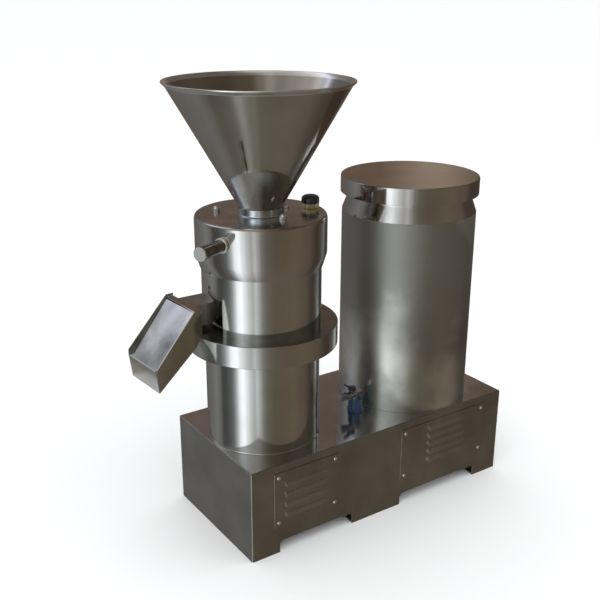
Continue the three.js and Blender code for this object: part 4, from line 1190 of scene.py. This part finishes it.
@dataclass
class Hopper:
    """The funnel with its flared rim."""

    seat_radius: float = 43.73
    seat_level: float = 688.5
    spread: float = 132
    height: float = 230
    sheet: float = 2
    neck_radius: float = 38
    neck_length: float = 39
    throat_step: float = 1.2
    lip: Outline = (
        (0, 0), (4.2, 4.0), (6.6, 6.2), (7.55, 7.8), (7.45, 9.3), (6.4, 10), (5.2, 9.6), (3.2, 7.2),
    )
    highlight_from: float = 1.5

    def build(self) -> None:
        """Turns the funnel as a thin wall with a rolled rim."""
        slant = math.hypot(self.spread, self.height)
        wide = self.sheet * self.height / slant
        tall = self.sheet * self.spread / slant
        radius, level, neck = self.seat_radius, self.seat_level, self.neck_radius
        top_radius, top = radius + self.spread, level + self.height
        inner, bottom = neck - self.sheet, level - self.neck_length
        profile = [
            (inner, bottom), (neck, bottom), (neck, level), (radius, level),
            *moved(self.lip, top_radius, top), (top_radius - wide, top + tall),
            (radius - wide + self.throat_step, level + self.sheet), (inner, level + self.sheet),
        ]
        lathe = Lathe(HEAD_X, edge=0.4, segments=2, sides=FUNNEL_SIDES)
        funnel = lathe.turn("hopper_funnel", profile, "hopper", "hopper", "hopper")
        # The rim's top faces take the bright grinding finish as a painted highlight.
        rim = (top + self.highlight_from) * MM
        patch(funnel, ("hopper", "ground_and_highlight"), lambda face: "ground_and_highlight" if face.center.z > rim else "hopper")


@dataclass
class MotorCover:
    """The round cover over the motor, and its lift-off cap."""

    radius: float = 147
    sheet: float = 2.5
    wall_top: float = 631
    wall_round: Outline = ((0, -3), (-0.4, 1))
    shoulder: Pair = (12, 663)
    seat: float = 671
    neck_top: float = 704.8
    neck_radius: float = 133
    cap_radius: float = 150.5
    cap_levels: Pair = (670.8, 707.3)
    cap_round: Outline = ((0, -3), (-0.9, -0.9), (-3, 0))
    spigot_gap: float = 0.9
    spigot_length: float = 6

    def build(self) -> None:
        """Turns the cover and the cap."""
        radius, sheet, wall, neck = self.radius, self.sheet, self.wall_top, self.neck_radius
        drawn_in, level = self.shoulder
        profile = [
            (radius - sheet, DECK_Z), (radius, DECK_Z), *moved(self.wall_round, radius, wall),
            (radius - drawn_in, level), (neck, self.seat), (neck, self.neck_top),
            (neck - sheet, self.neck_top), (neck - sheet, self.seat), (radius - drawn_in - sheet, level),
            (radius - sheet, wall),
        ]
        lathe = Lathe(MOTOR_X, edge=0.6)
        # The wall's finish is painted darker towards its top as shade.
        cover = lathe.turn("motor_cover_rolled", profile, "rolled", "base", "motor_cover")
        patch(cover, ("rolled", "mirror"), lambda face: "mirror" if face.center.z > wall * MM else "rolled")
        self.cap()

    def cap(self) -> None:
        """Turns the cap with its skirt and spigot."""
        radius, sheet, roof = self.cap_radius, self.sheet, self.neck_top
        bottom, top = self.cap_levels
        spigot, low = self.neck_radius - sheet - self.spigot_gap, roof - self.spigot_length
        profile = [
            (0, roof), (spigot - sheet, roof), (spigot - sheet, low), (spigot, low), (spigot, roof),
            (radius - sheet, roof), (radius - sheet, bottom), (radius, bottom),
            *moved(self.cap_round, radius, top), (0, top),
        ]
        lathe = Lathe(MOTOR_X, edge=0.5)
        lathe.turn("motor_cap_spun", profile, "mirror", "motor_cap", "motor_cap")


@dataclass
class WaterValve:
    """The small cooling water valve between the drums."""

    nodes: dict[str, Piece]
    looks: tuple[tuple[str, str, Slot, str, float], ...] = (
        ("valve_union", "blue", Slot.BLUE, "base", 0.8),
        # The body's bright patches are painted highlights.
        ("valve_body", "dark_with_highlights", Slot.MACHINED, "base", 0.6),
        ("valve_lever", "black", Slot.BLACK, "valve_lever", 1.4),
    )

    def build(self) -> None:
        """Dresses the three pieces of the valve."""
        for node, finish, slot, body, width in self.looks:
            piece = new_object(f"{node}_shaped", copied(self.nodes[node]))
            dress(rounded(piece, width), finish, slot, body, node)


@dataclass
class HiddenWorks:
    """The pieces inside the machine, which keep their CAD solids."""

    nodes: dict[str, Piece]
    looks: dict[str, tuple[str, ...]] = field(
        default_factory=lambda: {
            "machined": (
                "mounting_plate", "stator_carrier", "stator_ring", "spindle", "grinding_rotor",
                "feed_auger", "motor_rotor", "motor_bolt_1", "motor_bolt_2", "motor_bolt_3", "motor_bolt_4",
            ),
            "ground_and_highlight": ("lower_bearing", "upper_bearing", "motor_lower_bearing", "motor_upper_bearing"),
            "cast": (
                "spindle_pulley", "motor_pulley", "motor_flange", "motor_frame", "motor_upper_shield",
                "motor_fan_cowl",
            ),
            "winding": ("motor_stator",),
            "black": ("motor_fan",),
            "rubber": ("shaft_seal", "v_belt_1", "v_belt_2"),
        }
    )

    def build(self) -> None:
        """Gives each solid its finish."""
        for finish, names in self.looks.items():
            for name in names:
                solid = self.nodes[name]
                solid.data.materials.clear()
                solid.data.materials.append(PALETTE.material(finish))


@dataclass(frozen=True)
class Band:
    """A soft band of the room, whose tone the steel mirrors at an azimuth in degrees."""

    azimuth: float
    tone: Place

    def stop(self) -> tuple[float, Place]:
        """Returns where the band lies on a ramp that runs once round the room, and its tone."""
        return self.azimuth / 360 + 0.5, self.tone


@dataclass(frozen=True)
class Lamp:
    """A large soft lamp, with its place in millimetres, its size in metres and its power in watts."""

    name: str
    place: Place
    size: float
    power: float


@dataclass
class Studio:
    """The floor, the soft light, the surroundings seen in the steel, and the camera."""

    camera_place: Place = (-1034.161, -1444.166, 1102.959)
    azimuth: float = -34.196
    elevation: float = 19.835
    roll: float = 0.130
    focal_pixels: float = 886.923
    frame_pixels: float = 600
    sensor: float = 36
    clip: Pair = (0.05, 100)
    floor_size: float = 400
    floor_tone: Place = (0.93, 0.93, 0.93)
    floor_roughness: float = 0.9
    aim: Place = (0, 0, 400)
    key_lamp: Lamp = Lamp("key_lamp", (-1800, -1500, 2600), 1.8, 12.0)
    fill_lamp: Lamp = Lamp("fill_lamp", (1900, -1300, 1900), 1.6, 5.0)
    light_tone: Place = (1.12, 1.13, 1.14)
    below: Place = (0.17, 0.155, 0.13)
    below_span: Pair = (-1.06, -0.42)
    upper_span: Pair = (0.3, 0.62)
    ceiling: Place = (0.60, 0.62, 0.64)
    ceiling_span: Pair = (0.9, 0.99)
    walls: tuple[Band, ...] = (
        Band(-180, (0.34, 0.36, 0.37)),
        Band(-175, (0.66, 0.70, 0.72)),
        Band(-168, (1.35, 1.45, 1.50)),
        Band(-161, (1.55, 1.66, 1.72)),
        Band(-153, (1.10, 1.17, 1.20)),
        Band(-145, (0.74, 0.78, 0.80)),
        Band(-139, (0.56, 0.585, 0.59)),
        Band(-133, (0.74, 0.77, 0.77)),
        Band(-127, (0.50, 0.51, 0.49)),
        Band(-121, (0.26, 0.25, 0.22)),
        Band(-112, (0.175, 0.16, 0.125)),
        Band(-98, (0.15, 0.128, 0.095)),
        Band(-80, (0.155, 0.128, 0.09)),
        Band(-59, (0.17, 0.14, 0.10)),
        Band(-34, (0.14, 0.112, 0.085)),
        Band(-8, (0.07, 0.055, 0.042)),
        Band(26, (0.07, 0.055, 0.042)),
        Band(43, (0.14, 0.10, 0.07)),
        Band(47, (0.34, 0.265, 0.205)),
        Band(51, (0.16, 0.11, 0.08)),
        Band(64, (0.16, 0.11, 0.088)),
        Band(80, (0.15, 0.13, 0.115)),
        Band(104, (0.18, 0.18, 0.18)),
        Band(118, (0.215, 0.215, 0.21)),
        Band(130, (0.25, 0.26, 0.262)),
        Band(140, (0.20, 0.205, 0.205)),
        Band(150, (0.085, 0.085, 0.085)),
        Band(160, (0.09, 0.09, 0.09)),
        Band(168, (0.13, 0.14, 0.145)),
        Band(174, (0.17, 0.185, 0.19)),
        Band(180, (0.34, 0.36, 0.37)),
    )
    upper: tuple[Band, ...] = (
        Band(-180, (0.36, 0.34, 0.32)),
        Band(-158, (0.30, 0.28, 0.25)),
        Band(-140, (0.42, 0.385, 0.345)),
        Band(-126, (0.26, 0.225, 0.19)),
        Band(-104, (0.13, 0.095, 0.065)),
        Band(-90, (0.12, 0.09, 0.062)),
        Band(-64, (0.085, 0.064, 0.043)),
        Band(-20, (0.095, 0.075, 0.052)),
        Band(20, (0.11, 0.084, 0.062)),
        Band(43, (0.13, 0.095, 0.072)),
        Band(47, (0.34, 0.28, 0.24)),
        Band(51, (0.15, 0.11, 0.09)),
        Band(58, (0.17, 0.12, 0.10)),
        Band(94, (0.22, 0.18, 0.17)),
        Band(112, (0.28, 0.23, 0.26)),
        Band(118, (0.62, 0.64, 0.86)),
        Band(123, (1.35, 1.42, 1.62)),
        Band(129, (0.75, 0.78, 0.96)),
        Band(138, (0.80, 0.78, 0.76)),
        Band(152, (0.50, 0.48, 0.46)),
        Band(180, (0.36, 0.34, 0.32)),
    )

    def build(self) -> None:
        """Builds the whole studio."""
        bpy.context.scene.view_settings.view_transform = "Standard"
        self.floor()
        self.surroundings()
        self.hang(self.key_lamp)
        self.hang(self.fill_lamp)
        self.camera()

    def floor(self) -> None:
        """Lays the plain pale floor."""
        shape = bmesh.new()
        bmesh.ops.create_grid(shape, x_segments=1, y_segments=1, size=self.floor_size)
        floor = new_object("studio_floor", shape)
        board = NodeBoard("pale_floor")
        board.shader.inputs["Base Color"].default_value = (*self.floor_tone, 1)
        board.shader.inputs["Roughness"].default_value = self.floor_roughness
        floor.data.materials.append(board.material)
        floor.visible_glossy = False

    def surroundings(self) -> None:
        """Makes the soft room: pale where it lights, and with soft strips where the steel mirrors it."""
        world = bpy.data.worlds.new("soft_room")
        bpy.context.scene.world = world
        world.use_nodes = True
        room = Wiring(world.node_tree)
        output = room.add("ShaderNodeOutputWorld")
        mix = room.add("ShaderNodeMixShader")
        path = room.add("ShaderNodeLightPath")
        pale = room.add("ShaderNodeBackground")
        mirrored = room.add("ShaderNodeBackground")
        pale.inputs["Color"].default_value = (*self.light_tone, 1)
        direction = room.add("ShaderNodeTexCoord").outputs["Generated"]
        around = room.add("ShaderNodeTexGradient")
        around.gradient_type = "RADIAL"
        height = room.add("ShaderNodeSeparateXYZ")
        room.link(direction, around.inputs["Vector"])
        room.link(direction, height.inputs["Vector"])
        turn, rise = around.outputs["Fac"], height.outputs["Z"]
        walls = room.ramp(turn, [band.stop() for band in self.walls], "EASE")
        upper = room.ramp(turn, [band.stop() for band in self.upper], "EASE")
        tone = self.blend(room, rise, self.upper_span, walls, upper)
        tone = self.blend(room, rise, self.below_span, room.plain(self.below), tone)
        tone = self.blend(room, rise, self.ceiling_span, tone, room.plain(self.ceiling))
        room.link(tone, mirrored.inputs["Color"])
        room.link(path.outputs["Is Glossy Ray"], mix.inputs["Fac"])
        room.link(pale.outputs["Background"], mix.inputs[1])
        room.link(mirrored.outputs["Background"], mix.inputs[2])
        room.link(mix.outputs["Shader"], output.inputs["Surface"])

    def blend(self, room: Wiring, rise: Socket, span: Pair, lower: Socket, higher: Socket) -> Socket:
        """Blends two tones softly by height.

        Args:
            room: The world's nodes.
            rise: The socket that carries the height of the direction.
            span: Where the blend starts and ends.
            lower: The tone under the span.
            higher: The tone above the span.

        Returns:
            The socket that carries the blended tone.
        """
        share = room.ranged(rise, span)
        share.interpolation_type = "SMOOTHSTEP"
        mixed = room.add("ShaderNodeMix")
        mixed.data_type = "RGBA"
        room.link(share.outputs["Result"], mixed.inputs["Factor"])
        room.link(lower, mixed.inputs[MIX_LOWER])
        room.link(higher, mixed.inputs[MIX_HIGHER])
        return mixed.outputs[MIX_RESULT]

    def hang(self, lamp: Lamp) -> None:
        """Hangs a large soft lamp that the steel doesn't mirror.

        Args:
            lamp: The lamp.
        """
        light = bpy.data.lights.new(lamp.name, "AREA")
        light.size = lamp.size
        light.energy = lamp.power
        hung = bpy.data.objects.new(lamp.name, light)
        hung.location = Vector(lamp.place) * MM
        aim = Vector(self.aim) * MM - hung.location
        hung.rotation_euler = aim.to_track_quat("-Z", "Y").to_euler()
        hung.visible_glossy = False
        bpy.context.scene.collection.objects.link(hung)

    def camera(self) -> None:
        """Sets the camera at the photograph's place and angle."""
        data = bpy.data.cameras.new("camera")
        data.sensor_width = self.sensor
        data.lens = self.focal_pixels / self.frame_pixels * self.sensor
        data.clip_start, data.clip_end = self.clip
        camera = bpy.data.objects.new("camera", data)
        turn, rise = math.radians(self.azimuth), math.radians(self.elevation)
        back = Vector((math.sin(turn) * math.cos(rise), -math.cos(turn) * math.cos(rise), math.sin(rise)))
        right = Vector((math.cos(turn), math.sin(turn), 0))
        up = back.cross(right)
        axes = Matrix((right, up, back)).transposed().to_4x4()
        spin = Matrix.Rotation(math.radians(self.roll), 4, "Z")
        camera.matrix_world = Matrix.Translation(Vector(self.camera_place) * MM) @ axes @ spin
        bpy.context.scene.collection.objects.link(camera)
        bpy.context.scene.camera = camera


def main() -> None:
    """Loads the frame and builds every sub-assembly."""
    logging.basicConfig(level=logging.INFO, format="%(name)s: %(message)s")
    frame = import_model()
    nodes = frame["nodes"]
    for assembly in (
        BaseFrame(nodes),
        GrindingHead(nodes),
        AdjustingDrum(),
        Hopper(),
        MotorCover(),
        WaterValve(nodes),
        HiddenWorks(nodes),
        Studio(),
    ):
        assembly.build()
        LOG.info("built %s", type(assembly).__name__)


if __name__ == "__main__":
    main()
